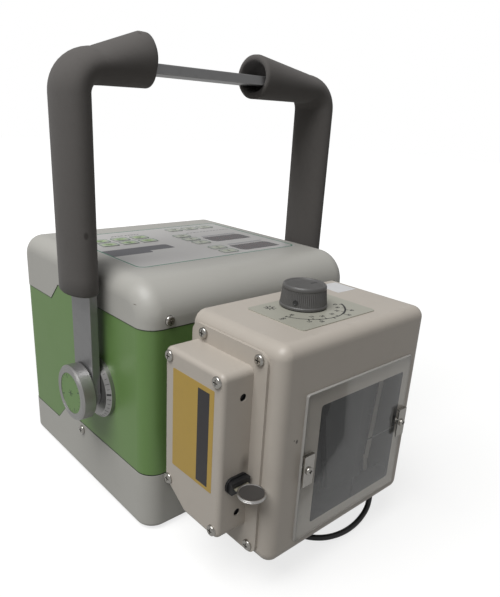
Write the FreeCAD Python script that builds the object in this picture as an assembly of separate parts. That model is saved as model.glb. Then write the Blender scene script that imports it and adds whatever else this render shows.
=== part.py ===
import FreeCAD, Part
import math
import os

# A portable x-ray generator: a three-part moulded case with a control panel, a swinging handle
# of flat bar in two foam grips, and a light-beam collimator with a laser and tape housing.
# Millimetres. +Z is up, -Y is the beam's way, +X is the right of someone facing along +Y.
# The origin is the middle of the case's underside.

# Case
case_width = 220.0
case_depth = 220.0
case_front_reach = 104.0
case_height = 204.0
case_wall = 3.0
case_side_round = 15.0
case_front_round = 27.0
case_rear_round = 20.0
case_base_round = 4.0
upper_seam_z = 171.2
lower_seam_z = 49.8
seam_step = 15.7
seam_step_y = 38.5
seam_gap = 0.2
band_recess = 0.4
foot_radius = 9.0
foot_drop = 2.0
foot_pocket = 1.0
foot_inset = 22.0

# Screws
screw_head_radius = 4.0
screw_head_height = 2.2
screw_shank_radius = 2.0
screw_hole_radius = 2.2
screw_shank_length = 9.0
screw_slot = 0.9
lug_width = 12.0
lug_thickness = 8.0
lug_reach = 16.0
lug_root = 1.0
lug_gap = 0.05
case_screw_inset = 20.0
case_screw_height = 6.0

# Stand holes under the case
stand_spacing_x = 120.0
stand_spacing_y = 100.0
stand_hole_radius = 2.5
stand_boss_radius = 6.0
stand_boss_height = 14.0
stand_hole_depth = 11.0

# Control panel
panel_width = 176.0
panel_depth = 132.6
panel_x = 2.2
panel_y = 9.6
panel_thickness = 0.5
panel_corner = 5.0
key_width = 16.5
key_depth = 11.5
key_proud = 0.5
key_corner = 1.5
key_clearance = 0.15
key_travel = 0.3
preset_inset_x = 20.8
preset_inset_y = 32.5
preset_pitch_x = 20.4
preset_pitch_y = 16.0
mode_inset_x = 24.0
mode_inset_y = 17.3
mode_pitch_x = 19.9
set_inset_x = 74.6
exposure_inset_y = 46.4
time_inset_y = 14.5
set_pitch_y = 15.7
display_width = 46.0
display_depth = 20.5
display_inset_x = 37.2
upper_display_inset_y = 71.0
lower_display_inset_y = 20.7
display_height = 9.0
display_corner = 1.5
board_drop = 11.0
board_thickness = 1.6
board_margin = 8.0
switch_size = 6.0
post_radius = 3.5

# X-ray tank
beam_x = 3.5
beam_z = 94.3
tank_width = 147.0
tank_depth = 128.0
tank_height = 120.0
tank_wall = 4.0
tank_front_gap = 9.0
tank_leg_radius = 8.0
tank_leg_inset = 16.0
tube_radius = 19.0
tube_length = 112.0
tube_end_radius = 9.0
tube_end_length = 8.0
tube_offset_y = 44.0
cradle_thickness = 8.0
cradle_spacing = 76.0
port_radius = 22.0
port_skin = 1.5
running_clearance = 0.05
seat_clearance = 0.3

# Inverter board behind the tank
inverter_width = 150.0
inverter_height = 110.0
inverter_gap = 14.0
capacitor_radius = 11.0
capacitor_length = 28.0
capacitor_spacing = 30.0
transformer_size = 34.0

# Rear connections
inlet_x = -52.0
inlet_z = 88.0
inlet_flange_width = 50.0
inlet_flange_height = 62.0
inlet_flange_thickness = 3.0
inlet_body_depth = 27.0
inlet_barrel = 14.0
rocker_box_width = 30.0
rocker_box_below = 11.0
rocker_box_above = 11.0
socket_bore = 11.0
socket_depth = 18.0
socket_drop = 13.0
socket_contact_circle = 6.0
socket_contact_radius = 1.6
socket_contact_depth = 2.5
rocker_rise = 14.5
rocker_width = 19.0
rocker_half_height = 6.5
rocker_tilt = 10.0
rocker_crown = 5.0
rocker_lip = 7.5
rocker_root = 4.0
rocker_axle_radius = 1.5
rocker_axle_length = 2.0
rocker_pocket_half = 8.4
hand_switch_x = 52.0
hand_switch_z = 88.0
hand_switch_bore = 6.5
hand_switch_bore_depth = 14.0
hand_switch_barrel = 9.0
hand_switch_flange = 13.0
hand_switch_flange_height = 4.0
hand_switch_contact_circle = 3.5
hand_switch_contact_radius = 0.8
hand_switch_contact_depth = 2.2

# Handle
pivot_y = -31.5
pivot_z = 102.5
bar_thickness = 7.0
bar_width = 30.0
bar_top_z = 349.5
bar_bend_inside = 16.5
bar_edge_round = 0.7
dial_radius = 26.5
dial_face_radius = 23.0
dial_rim = 3.2
dial_thickness = 6.4
stud_radius = 6.0
stud_flange_radius = 13.0
stud_flange_thickness = 3.0
bar_dial_gap = 0.2
knob_gap = 0.3
clamp_knob_radius = 23.0
clamp_knob_thickness = 11.7
clamp_knob_chamfer = 1.2
clamp_bore_depth = 8.0
cap_radius = 17.0
cap_depth = 1.2
foam_clear_of_case = 1.2
foam_half_thickness = 12.4
foam_half_width = 21.5
foam_bottom_z = 185.5
foam_bend_z = 326.0
foam_bend_inside = 6.0
left_end_half_height = 19.2
left_end_z = 351.6
left_end_x = 64.0
right_end_half_height = 17.8
right_end_z = 349.4
right_end_x = 43.0
foam_end_half_width = 20.0
foam_hole_half_width = 15.9
foam_hole_half_height = 12.2
foam_hole_depth = 15.0

# Collimator
collimator_width = 154.3
collimator_depth = 87.8
collimator_height = 162.2
collimator_x = -5.0
collimator_base_z = 26.9
collimator_gap = 19.2
collimator_wall = 3.0
collimator_corner = 9.0
collimator_front_round = 8.5
back_plate_thickness = 3.0
neck_radius = 42.0
neck_bore = 24.0
spigot_radius = 30.0
neck_bolt_circle = 27.0
neck_bolt_radius = 1.5
neck_bolt_head_radius = 2.75
neck_bolt_head_height = 2.0
aperture_size = 93.0
aperture_corner = 2.0

# Side plate and the laser and tape housing
side_plate_thickness = 2.0
side_plate_front_inset = 11.5
side_plate_top_inset = 6.5
side_plate_base_inset = 4.2
side_plate_corner = 8.0
side_plate_window_inset = 12.0
side_screw_front_inset = 7.0
side_screw_rear_inset = 13.0
side_screw_height_inset = 5.5
laser_depth = 24.7
laser_front_inset = 11.5
laser_length = 62.0
laser_base_z = 49.0
laser_height = 121.5
laser_wall = 2.0
laser_corner = 5.0
laser_face_round = 3.5
laser_chamfer_length = 24.0
laser_chamfer_height = 16.0
laser_screw_inset = 5.8
laser_screw_head_height = 1.8
laser_boss_radius = 4.2
laser_hole_radius = 2.7
laser_tube_radius = 4.5
laser_tube_length = 28.0
laser_tube_inset = 7.9
laser_saddle_length = 14.0
laser_saddle_set_back = 6.0
laser_saddle_height = 7.2
laser_hole_z = (151.7, 65.0)

# Distance tape
tape_z = 90.0
tape_offset = 14.5
tape_width = 12.0
tape_thickness = 0.6
tape_travel = 25.0
tape_spool_radius = 20.5
tape_pin_radius = 3.0
mouth_width = 19.0
mouth_height = 11.5
mouth_flange = 1.6
mouth_block_width = 16.0
mouth_block_height = 8.5
mouth_reach = 5.3
mouth_slot_clearance = 0.4
tab_radius = 9.7
tab_thickness = 2.4
tab_gap = 0.4

# Field window
window_width = 117.0
window_height = 114.5
window_centre_x = -0.5
window_centre_z = 96.1
window_thickness = 2.0
window_notch_width = 9.0
window_notch_depth = 8.5
clip_width = 9.6
clip_height = 23.5
clip_thickness = 1.0
clip_stand_off = 1.6
clip_inset = 4.6
clip_z = 97.5
clip_screw_radius = 1.5
clip_screw_head_radius = 3.0
clip_spacer_radius = 3.2

# Field knob, its scale and the shutters
scale_width = 77.4
scale_depth = 55.0
scale_x = -10.9
scale_front_inset = 15.9
scale_thickness = 0.6
scale_corner = 3.0
field_knob_x = -10.2
field_knob_y = -158.3
field_knob_radius = 17.5
field_knob_top_radius = 15.6
field_knob_height = 16.5
field_knob_base = 1.6
field_knob_gap = 0.5
field_shaft_radius = 3.0
field_cam_radius = 18.0
field_cam_thickness = 2.5
field_cam_drop = 1.0
shutter_thickness = 2.5
shutter_width = 36.0
shutter_length = 96.0
shutter_rest_gap = 4.0
shutter_front_inset = 21.0
shutter_pair_gap = 1.0
guide_thickness = 4.0
guide_clearance = 0.3
mirror_half_width = 26.0
mirror_length = 62.0
mirror_thickness = 1.5
mirror_y = -151.0
mirror_cheek = 2.0
cheek_foot = 26.0
cheek_drop = 4.0
cheek_tip = 10.0
lamp_y = -150.0
lamp_base = (24.0, 20.0, 8.0)
lamp_radius = 5.0
lamp_height = 14.0

# Collimator lead
lead_diameter = 4.6
lead_gland_radius = 5.0
lead_route = (
    (55.0, -196.5, 22.9),
    (54.6, -197.6, 14.5),
    (47.5, -200.0, 5.4),
    (29.0, -202.6, 1.6),
    (9.0, -202.0, 2.0),
    (-9.0, -195.5, 3.4),
    (-21.0, -180.5, 4.4),
    (-26.0, -161.0, 5.2),
    (-25.5, -141.0, 8.4),
    (-21.0, -123.0, 13.0),
    (-20.0, -107.6, 15.0),
)

# Worked out from the sizes above
case_half_width = case_width / 2
case_front_y = -case_front_reach
case_rear_y = case_depth - case_front_reach
collimator_rear_y = case_front_y - collimator_gap
collimator_front_y = collimator_rear_y - collimator_depth
collimator_left_x = collimator_x - collimator_width / 2
collimator_right_x = collimator_x + collimator_width / 2
collimator_top_z = collimator_base_z + collimator_height
side_plate_x = collimator_left_x - side_plate_thickness
laser_left_x = side_plate_x - laser_depth
laser_front_y = collimator_front_y + side_plate_front_inset + laser_front_inset
laser_rear_y = laser_front_y + laser_length
laser_top_z = laser_base_z + laser_height
tape_x = laser_left_x + tape_offset
panel_top_z = case_height
tank_front_y = case_front_y + tank_front_gap
tank_rear_y = tank_front_y + tank_depth
tank_base_z = beam_z - tank_height / 2
band_front_y = case_front_y + band_recess
dial_base_x = case_half_width - band_recess
dial_top_x = dial_base_x + dial_thickness
bar_inner_x = dial_top_x + bar_dial_gap
bar_outer_x = bar_inner_x + bar_thickness

X = FreeCAD.Vector(1, 0, 0)
Y = FreeCAD.Vector(0, 1, 0)
Z = FreeCAD.Vector(0, 0, 1)


def vec(x, y, z):
    return FreeCAD.Vector(x, y, z)


def block(x0, x1, y0, y1, z0, z1):
    low = vec(min(x0, x1), min(y0, y1), min(z0, z1))
    return Part.makeBox(abs(x1 - x0), abs(y1 - y0), abs(z1 - z0), low)


def rod(start, axis, radius, length):
    return Part.makeCylinder(radius, length, start, axis)


def edges_where(shape, test):
    return [e for e in shape.Edges if test(e)]


def along(edge, axis):
    """True for a straight edge that runs along the axis."""
    if edge.Curve.TypeId != "Part::GeomLine":
        return False
    return abs(abs(edge.tangentAt(edge.FirstParameter).dot(axis)) - 1) < 1e-6


def on_plane(edge, axis, value):
    """True for an edge that lies in the plane across the axis at that value."""
    middle = edge.valueAt((edge.FirstParameter + edge.LastParameter) / 2)
    points = [v.Point for v in edge.Vertexes] + [middle]
    return all(abs(p.dot(axis) - value) < 1e-4 for p in points)


def rounded_block(x0, x1, y0, y1, z0, z1, axis, radius):
    """A block whose four edges along the axis are rounded."""
    body = block(x0, x1, y0, y1, z0, z1)
    return body.makeFillet(radius, edges_where(body, lambda e: along(e, axis)))


def join(shapes):
    whole = shapes[0]
    if len(shapes) > 1:
        whole = whole.fuse(shapes[1:])
    return whole.removeSplitter()


def prism_x(points, x0, x1):
    """A solid with an outline of (y, z) points, from x0 to x1."""
    wire = Part.makePolygon([vec(x0, y, z) for y, z in points + [points[0]]])
    return Part.Face(wire).extrude(vec(x1 - x0, 0, 0))


# Case shells

def case_envelope(inset):
    """The case's outer shape, moved inwards by the inset."""
    front = case_front_y + inset
    rear = case_rear_y - inset
    top = case_height - inset
    base = inset
    front_round = case_front_round - inset
    rear_round = case_rear_round - inset
    half = case_half_width - inset
    diagonal = 1 - math.sqrt(0.5)
    x = -half
    wire = Part.Wire([
        Part.LineSegment(vec(x, front, base), vec(x, front, top - front_round)).toShape(),
        Part.Arc(vec(x, front, top - front_round),
                 vec(x, front + front_round * diagonal, top - front_round * diagonal),
                 vec(x, front + front_round, top)).toShape(),
        Part.LineSegment(vec(x, front + front_round, top), vec(x, rear - rear_round, top)).toShape(),
        Part.Arc(vec(x, rear - rear_round, top),
                 vec(x, rear - rear_round * diagonal, top - rear_round * diagonal),
                 vec(x, rear, top - rear_round)).toShape(),
        Part.LineSegment(vec(x, rear, top - rear_round), vec(x, rear, base)).toShape(),
        Part.LineSegment(vec(x, rear, base), vec(x, front, base)).toShape(),
    ])
    body = Part.Face(wire).extrude(vec(2 * half, 0, 0))
    sides = edges_where(body, lambda e: (on_plane(e, X, -half) or on_plane(e, X, half))
                        and not on_plane(e, Z, base))
    body = body.makeFillet(case_side_round - inset, sides)
    if inset < case_base_round:
        body = body.makeFillet(case_base_round - inset,
                               edges_where(body, lambda e: on_plane(e, Z, base)))
    return body


def seam_profile(z, top, offset):
    """Outline, in (y, z), of all that lies above a stepped seam and below a height."""
    reach = case_depth
    return [
        (-reach, z + offset), (seam_step_y, z + offset),
        (seam_step_y + seam_step, z - seam_step + offset), (reach, z - seam_step + offset),
        (reach, top), (-reach, top),
    ]


def above_seam(z, offset):
    return prism_x(seam_profile(z, 2 * case_height, offset), -case_width, case_width)


outer_case = case_envelope(0)
inner_case = case_envelope(case_wall)
above_upper = above_seam(upper_seam_z, 0)
above_lower = above_seam(lower_seam_z, -seam_gap)

case_screw_x = case_half_width - case_screw_inset
upper_front_screw_z = upper_seam_z + case_screw_height
upper_rear_screw_z = upper_seam_z - seam_step + case_screw_height
lower_side_screw_z = lower_seam_z - case_screw_height
lower_rear_screw_z = lower_seam_z - seam_step - case_screw_height
lower_side_screw_y = 3.5

# Each case screw: where its head sits, and the way its shank runs
case_screws = []
for side in (-1, 1):
    case_screws.append((vec(side * case_screw_x, case_front_y, upper_front_screw_z), Y))
    case_screws.append((vec(side * case_screw_x, case_rear_y, upper_rear_screw_z), -Y))
    case_screws.append((vec(side * case_screw_x, case_front_y, lower_side_screw_z), Y))
    case_screws.append((vec(side * case_screw_x, case_rear_y, lower_rear_screw_z), -Y))
    case_screws.append((vec(side * case_half_width, lower_side_screw_y, lower_side_screw_z), -side * X))


def pan_screw(seat, way, head_radius, head_height, shank_radius, shank_length):
    """A cross-recessed pan-head screw, its head outside the seat and its shank along the way."""
    head = rod(seat - way * head_height, way, head_radius, head_height)
    rim = edges_where(head, lambda e: abs(e.CenterOfMass.dot(way) - (seat.dot(way) - head_height)) < 1e-4
                      and e.Curve.TypeId == "Part::GeomCircle")
    head = head.makeFillet(head_height * 0.7, rim)
    across = Z if abs(way.z) < 0.5 else X
    other = way.cross(across)
    recess = []
    for one, two in ((across, other), (other, across)):
        low = seat - way * head_height - one * head_radius * 0.55 - two * screw_slot / 2
        high = low + one * head_radius * 1.1 + two * screw_slot + way * head_height * 0.6
        recess.append(block(low.x, high.x, low.y, high.y, low.z, high.z))
    return head.fuse(rod(seat, way, shank_radius, shank_length)).cut(recess).removeSplitter()


def screw_hole(seat, way, radius, length):
    return rod(seat - way, way, radius, length + 1)


def screw_lug(seat, way):
    """A block on the middle band's inner wall that a cover's screw runs into."""
    start = seat + way * (case_wall - lug_root)
    end = start + way * (lug_root + lug_thickness)
    half = lug_width / 2
    if abs(way.y) > 0.5:
        body = block(seat.x - half, seat.x + half, start.y, end.y, seat.z - lug_reach, seat.z + lug_reach)
    else:
        body = block(start.x, end.x, seat.y - half, seat.y + half, seat.z - lug_reach, seat.z + lug_reach)
    hole = rod(seat, way, screw_shank_radius, screw_shank_length + 1)
    return body.cut(hole)


cover_screw_holes = [screw_hole(seat, way, screw_hole_radius, case_wall + 1) for seat, way in case_screws]

# The top cover, with the panel's seat, the keys' and displays' openings and the board's posts
panel_x0, panel_x1 = panel_x - panel_width / 2, panel_x + panel_width / 2
panel_y0, panel_y1 = panel_y - panel_depth / 2, panel_y + panel_depth / 2
panel_seat_z = panel_top_z - panel_thickness
board_top_z = panel_top_z - board_drop

display_x = panel_x1 - display_inset_x
display_rows = (panel_y1 - upper_display_inset_y, panel_y0 + lower_display_inset_y)
set_key_x = panel_x1 - set_inset_x
keys = {}
for number in range(6):
    row, column = divmod(number, 3)
    keys["preset_key_%d" % (number + 1)] = (panel_x0 + preset_inset_x + column * preset_pitch_x,
                                            panel_y1 - preset_inset_y - row * preset_pitch_y)
for number in range(3):
    keys["mode_key_%d" % (number + 1)] = (panel_x1 - mode_inset_x - (2 - number) * mode_pitch_x,
                                          panel_y1 - mode_inset_y)
for number, name in enumerate(("exposure_set_key", "exposure_up_key", "exposure_down_key")):
    keys[name] = (set_key_x, panel_y1 - exposure_inset_y - number * set_pitch_y)
for number, name in enumerate(("time_down_key", "time_up_key")):
    keys[name] = (set_key_x, panel_y0 + time_inset_y + number * set_pitch_y)


def key_block(x, y, grow, z0, z1):
    half_x, half_y = key_width / 2 + grow, key_depth / 2 + grow
    return rounded_block(x - half_x, x + half_x, y - half_y, y + half_y, z0, z1, Z, key_corner + grow)


def display_block(y, grow, z0, z1):
    half_x, half_y = display_width / 2 + grow, display_depth / 2 + grow
    return rounded_block(display_x - half_x, display_x + half_x, y - half_y, y + half_y,
                         z0, z1, Z, display_corner + grow)


panel_openings = [key_block(x, y, key_clearance, board_top_z, panel_top_z + 1) for x, y in keys.values()]
panel_openings += [display_block(y, key_clearance, board_top_z, panel_top_z + 1) for y in display_rows]
post_places = [(panel_x + sx * (panel_width / 2 - board_margin), panel_y + sy * (panel_depth / 2 - board_margin))
               for sx in (-1, 1) for sy in (-1, 1)]

top_cover = outer_case.common(above_upper).cut(inner_case)
top_cover = top_cover.cut([rounded_block(panel_x0, panel_x1, panel_y0, panel_y1, panel_seat_z,
                                         panel_top_z + 1, Z, panel_corner)] + panel_openings)
top_cover = top_cover.fuse([rod(vec(x, y, board_top_z), Z, post_radius, panel_seat_z - board_top_z - 1)
                            for x, y in post_places])
top_cover = top_cover.cut(cover_screw_holes).removeSplitter()

control_overlay = rounded_block(panel_x0 + key_clearance, panel_x1 - key_clearance,
                                panel_y0 + key_clearance, panel_y1 - key_clearance,
                                panel_seat_z, panel_top_z, Z, panel_corner).cut(panel_openings)

board = block(panel_x0 + 2, panel_x1 - 2, panel_y0 + 2, panel_y1 - 2, board_top_z - board_thickness, board_top_z)
key_base_z = board_top_z + 3.5
switches = [rod(vec(x, y, board_top_z), Z, switch_size / 2, key_base_z - key_travel - 0.05 - board_top_z)
            for x, y in keys.values()]
control_board = join([board] + switches)
display_windows = Part.makeCompound([display_block(y, 0, board_top_z, panel_top_z + 0.1) for y in display_rows])

# The middle band carries the lugs, the tank's port, the pivots and the rear connections
port_hole = rod(vec(beam_x, case_front_y - 1, beam_z), Y, spigot_radius + seat_clearance, case_wall + 2)
band = case_envelope(band_recess).common(above_lower).cut([above_seam(upper_seam_z, -seam_gap), inner_case])
band_zone = above_lower.cut(above_seam(upper_seam_z, -seam_gap))
lug_space = case_envelope(case_wall + lug_gap).fuse(case_envelope(case_wall - lug_root).common(band_zone))
lugs = [screw_lug(seat, way).common(lug_space) for seat, way in case_screws]
band = band.fuse(lugs)
pivot_holes = [rod(vec(side * (case_half_width + 1), pivot_y, pivot_z), -side * X, stud_radius + 0.02,
                   case_wall + 2) for side in (-1, 1)]
socket_z = inlet_z - socket_drop
rocker_z = inlet_z + rocker_rise
inlet_cut = rod(vec(inlet_x, case_rear_y + 1, socket_z), -Y, inlet_barrel + key_clearance, case_wall + 2)
rocker_cut = block(inlet_x - rocker_box_width / 2 - key_clearance, inlet_x + rocker_box_width / 2 + key_clearance,
                   case_rear_y - case_wall - 1, case_rear_y + 1,
                   rocker_z - rocker_box_below - key_clearance, rocker_z + rocker_box_above + key_clearance)
hand_switch_cut = rod(vec(hand_switch_x, case_rear_y + 1, hand_switch_z), -Y, hand_switch_barrel + key_clearance,
                      case_wall + 2)
middle_band = band.cut([port_hole, inlet_cut, rocker_cut, hand_switch_cut] + pivot_holes
                       + [rod(seat, way, screw_shank_radius, screw_shank_length + 1) for seat, way in case_screws])
middle_band = middle_band.removeSplitter()

# The bottom cover, with the feet's pockets, the stand bosses and the tank's legs
foot_places = [(sx * (case_half_width - foot_inset), y) for sx in (-1, 1)
               for y in (case_front_y + foot_inset, case_rear_y - foot_inset)]
stand_places = [(sx * stand_spacing_x / 2, sy * stand_spacing_y / 2) for sx in (-1, 1) for sy in (-1, 1)]
tank_x0, tank_x1 = beam_x - tank_width / 2, beam_x + tank_width / 2
leg_places = [(x, y) for x in (tank_x0 + tank_leg_inset, tank_x1 - tank_leg_inset)
              for y in (tank_front_y + tank_leg_inset, tank_rear_y - tank_leg_inset)]
bottom_cover = outer_case.cut([above_seam(lower_seam_z, -2 * seam_gap), inner_case])
bottom_cover = bottom_cover.fuse(
    [rod(vec(x, y, case_wall - 1), Z, stand_boss_radius, stand_boss_height - case_wall + 1)
     for x, y in stand_places]
    + [rod(vec(x, y, case_wall - 1), Z, tank_leg_radius, tank_base_z - case_wall + 1) for x, y in leg_places])
bottom_cover = bottom_cover.cut(
    [rod(vec(x, y, -1), Z, stand_hole_radius, stand_hole_depth + 1) for x, y in stand_places]
    + [rod(vec(x, y, -1), Z, foot_radius, foot_pocket + 1) for x, y in foot_places]
    + cover_screw_holes).removeSplitter()

feet = []
for x, y in foot_places:
    foot = rod(vec(x, y, -foot_drop), Z, foot_radius - 0.1, foot_drop + foot_pocket)
    feet.append(foot.makeChamfer(0.6, edges_where(foot, lambda e: on_plane(e, Z, -foot_drop))))
rubber_feet = Part.makeCompound(feet)

case_screw_solids = [pan_screw(seat, way, screw_head_radius, screw_head_height,
                               screw_shank_radius - 0.02, screw_shank_length) for seat, way in case_screws]

# X-ray tank with the tube inside it, and the inverter board behind it
tank_outer = rounded_block(tank_x0, tank_x1, tank_front_y, tank_rear_y, tank_base_z, tank_base_z + tank_height, Z, 6)
tank_inner = block(tank_x0 + tank_wall, tank_x1 - tank_wall, tank_front_y + tank_wall, tank_rear_y - tank_wall,
                   tank_base_z + tank_wall, tank_base_z + tank_height - tank_wall)
tube_y = tank_front_y + tube_offset_y
tube_space = rod(vec(beam_x - tank_width / 2 + tank_wall, tube_y, beam_z), X, tube_radius + 0.1,
                 tank_width - 2 * tank_wall)
cradles = [block(beam_x + side * cradle_spacing / 2 - cradle_thickness / 2,
                 beam_x + side * cradle_spacing / 2 + cradle_thickness / 2,
                 tube_y - tube_radius, tube_y + tube_radius, tank_base_z + tank_wall - 1, beam_z).cut(tube_space)
           for side in (-1, 1)]
port_recess = rod(vec(beam_x, tank_front_y - 1, beam_z), Y, port_radius, 1 + tank_wall - port_skin)
neck_bolt_places = [(beam_x + neck_bolt_circle * math.cos(math.radians(angle)),
                     beam_z + neck_bolt_circle * math.sin(math.radians(angle))) for angle in (45, 135, 225, 315)]
bolt_seat_y = collimator_rear_y - back_plate_thickness
bolt_length = tank_front_y + tank_wall - 0.5 - bolt_seat_y
tank_bolt_holes = [rod(vec(x, tank_front_y - 1, z), Y, neck_bolt_radius + 0.02, tank_wall + 0.5)
                   for x, z in neck_bolt_places]
xray_tank = join([tank_outer.cut(tank_inner)] + cradles).cut([port_recess] + tank_bolt_holes)

tube_glass = rod(vec(beam_x - tube_length / 2, tube_y, beam_z), X, tube_radius, tube_length)
tube_glass = tube_glass.makeFillet(6, edges_where(tube_glass, lambda e: e.Curve.TypeId == "Part::GeomCircle"))
tube_ends = [rod(vec(beam_x + side * tube_length / 2 - side, tube_y, beam_z), side * X, tube_end_radius,
                 tube_end_length + 1) for side in (-1, 1)]
xray_tube = join([tube_glass] + tube_ends)

inverter_y = tank_rear_y + inverter_gap
inverter_x0 = beam_x - inverter_width / 2
inverter_z0 = tank_base_z
inverter_parts = [block(inverter_x0, inverter_x0 + inverter_width, inverter_y, inverter_y + board_thickness,
                        inverter_z0, inverter_z0 + inverter_height)]
for side in (-1, 1):
    for z in (inverter_z0 + board_margin, inverter_z0 + inverter_height - board_margin):
        inverter_parts.append(rod(vec(beam_x + side * (tank_width / 2 - 2 * board_margin), tank_rear_y, z), Y,
                                  post_radius, inverter_gap))
inverter_back = inverter_y + board_thickness
for number in (-1, 0, 1):
    inverter_parts.append(rod(vec(beam_x + number * capacitor_spacing, inverter_back,
                                  inverter_z0 + inverter_height - 2 * capacitor_radius), Y,
                              capacitor_radius, min(capacitor_length, case_rear_y - case_wall - inverter_back - 8)))
inverter_parts.append(block(beam_x - transformer_size / 2, beam_x + transformer_size / 2, inverter_back,
                            inverter_back + transformer_size / 2, inverter_z0 + 6, inverter_z0 + 6 + transformer_size))
inverter_board = join(inverter_parts)

# Rear connections
flange_y = case_rear_y - band_recess
inlet_flange = rounded_block(inlet_x - inlet_flange_width / 2, inlet_x + inlet_flange_width / 2, flange_y,
                             flange_y + inlet_flange_thickness, inlet_z - inlet_flange_height / 2,
                             inlet_z + inlet_flange_height / 2, Y, 3)
inlet_body = rod(vec(inlet_x, flange_y, socket_z), -Y, inlet_barrel, inlet_body_depth)
rocker_box = block(inlet_x - rocker_box_width / 2, inlet_x + rocker_box_width / 2,
                   flange_y - inlet_body_depth, flange_y,
                   rocker_z - rocker_box_below, rocker_z + rocker_box_above)
inlet_face_y = flange_y + inlet_flange_thickness
socket_space = rod(vec(inlet_x, inlet_face_y + 1, socket_z), -Y, socket_bore, socket_depth + 1)
socket_floor_y = inlet_face_y - socket_depth
socket_contacts = [rod(vec(inlet_x + socket_contact_circle * math.cos(math.radians(angle)), socket_floor_y + 1,
                           socket_z + socket_contact_circle * math.sin(math.radians(angle))), -Y,
                       socket_contact_radius, socket_contact_depth + 1) for angle in (90, 210, 330)]
rocker_y = inlet_face_y - rocker_crown
rocker_pocket = block(inlet_x - rocker_width / 2 - seat_clearance, inlet_x + rocker_width / 2 + seat_clearance,
                      rocker_y - rocker_root - 4, inlet_face_y + 1,
                      rocker_z - rocker_pocket_half, rocker_z + rocker_pocket_half)
rocker_bearing = rod(vec(inlet_x - rocker_width / 2 - rocker_axle_length, rocker_y, rocker_z), X,
                     rocker_axle_radius + running_clearance, rocker_width + 2 * rocker_axle_length)
mains_inlet = inlet_flange.fuse([inlet_body, rocker_box]).cut([socket_space, rocker_pocket, rocker_bearing] + socket_contacts)
mains_inlet = mains_inlet.removeSplitter()

rocker_profile = [(-rocker_root, -rocker_half_height + 1.5), (rocker_lip, -rocker_half_height),
                  (rocker_crown, 0), (rocker_lip, rocker_half_height), (-rocker_root, rocker_half_height - 1.5)]
rocker = prism_x([(rocker_y + y, rocker_z + z) for y, z in rocker_profile],
                 inlet_x - rocker_width / 2, inlet_x + rocker_width / 2)
rocker = rocker.fuse(rod(vec(inlet_x - rocker_width / 2 - rocker_axle_length + 0.3, rocker_y, rocker_z), X,
                         rocker_axle_radius, rocker_width + 2 * rocker_axle_length - 0.6))
rocker.rotate(vec(inlet_x, rocker_y, rocker_z), X, -rocker_tilt)

hand_switch_end = flange_y + hand_switch_flange_height
hand_switch_socket = join([
    rod(vec(hand_switch_x, flange_y, hand_switch_z), Y, hand_switch_flange, hand_switch_flange_height),
    rod(vec(hand_switch_x, flange_y - hand_switch_bore_depth - 3, hand_switch_z), Y, hand_switch_barrel,
        hand_switch_bore_depth + 3)])
hand_switch_socket = hand_switch_socket.makeChamfer(
    1.0, edges_where(hand_switch_socket, lambda e: on_plane(e, Y, hand_switch_end)))
hand_switch_socket = hand_switch_socket.cut(
    rod(vec(hand_switch_x, hand_switch_end + 1, hand_switch_z), -Y, hand_switch_bore, hand_switch_bore_depth + 1))
contact_base_y = hand_switch_end - hand_switch_bore_depth
hand_switch_socket = hand_switch_socket.cut([
    rod(vec(hand_switch_x + hand_switch_contact_circle * math.cos(math.radians(angle)), contact_base_y + 1,
            hand_switch_z + hand_switch_contact_circle * math.sin(math.radians(angle))), -Y,
        hand_switch_contact_radius, hand_switch_contact_depth + 1) for angle in (30, 150, 270)]).removeSplitter()

# Handle: dials and studs stay on the case, the bar and its grips swing between them and the knobs


def turned(side, outline):
    """A turned piece on one pivot: an outline of (distance from the case's middle, radius)."""
    points = [vec(side * x, pivot_y, pivot_z + r) for x, r in outline]
    wire = Part.makePolygon(points + [points[0]])
    return Part.Face(wire).revolve(vec(0, pivot_y, pivot_z), X, 360)


knob_base_x = bar_outer_x + knob_gap
knob_face_x = knob_base_x + clamp_knob_thickness
stud_end_x = knob_base_x + clamp_bore_depth - 0.5


def angle_dial(side):
    outline = [(dial_base_x, stud_radius), (dial_base_x, dial_radius), (dial_base_x + dial_rim, dial_radius),
               (dial_top_x, dial_face_radius), (dial_top_x, stud_radius)]
    return turned(side, outline)


def pivot_stud(side):
    wall_x = case_half_width - case_wall
    outline = [(wall_x - stud_flange_thickness, 0), (wall_x - stud_flange_thickness, stud_flange_radius),
               (wall_x, stud_flange_radius), (wall_x, stud_radius), (stud_end_x, stud_radius), (stud_end_x, 0)]
    return turned(side, outline)


def clamp_knob(side):
    bore = stud_radius + running_clearance
    bore_end = knob_base_x + clamp_bore_depth
    rim = clamp_knob_radius
    edge = clamp_knob_chamfer
    outline = [(knob_base_x, bore), (knob_base_x, rim - edge), (knob_base_x + edge, rim),
               (knob_face_x - edge, rim), (knob_face_x, rim - edge), (knob_face_x, cap_radius),
               (knob_face_x - cap_depth, cap_radius), (knob_face_x - cap_depth, 0), (bore_end, 0), (bore_end, bore)]
    return turned(side, outline)


def knob_cap(side):
    floor = knob_face_x - cap_depth
    outline = [(floor, 0), (floor, cap_radius - 0.1), (knob_face_x - 0.3, cap_radius - 0.1), (knob_face_x - 0.3, 0)]
    return turned(side, outline)


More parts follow.
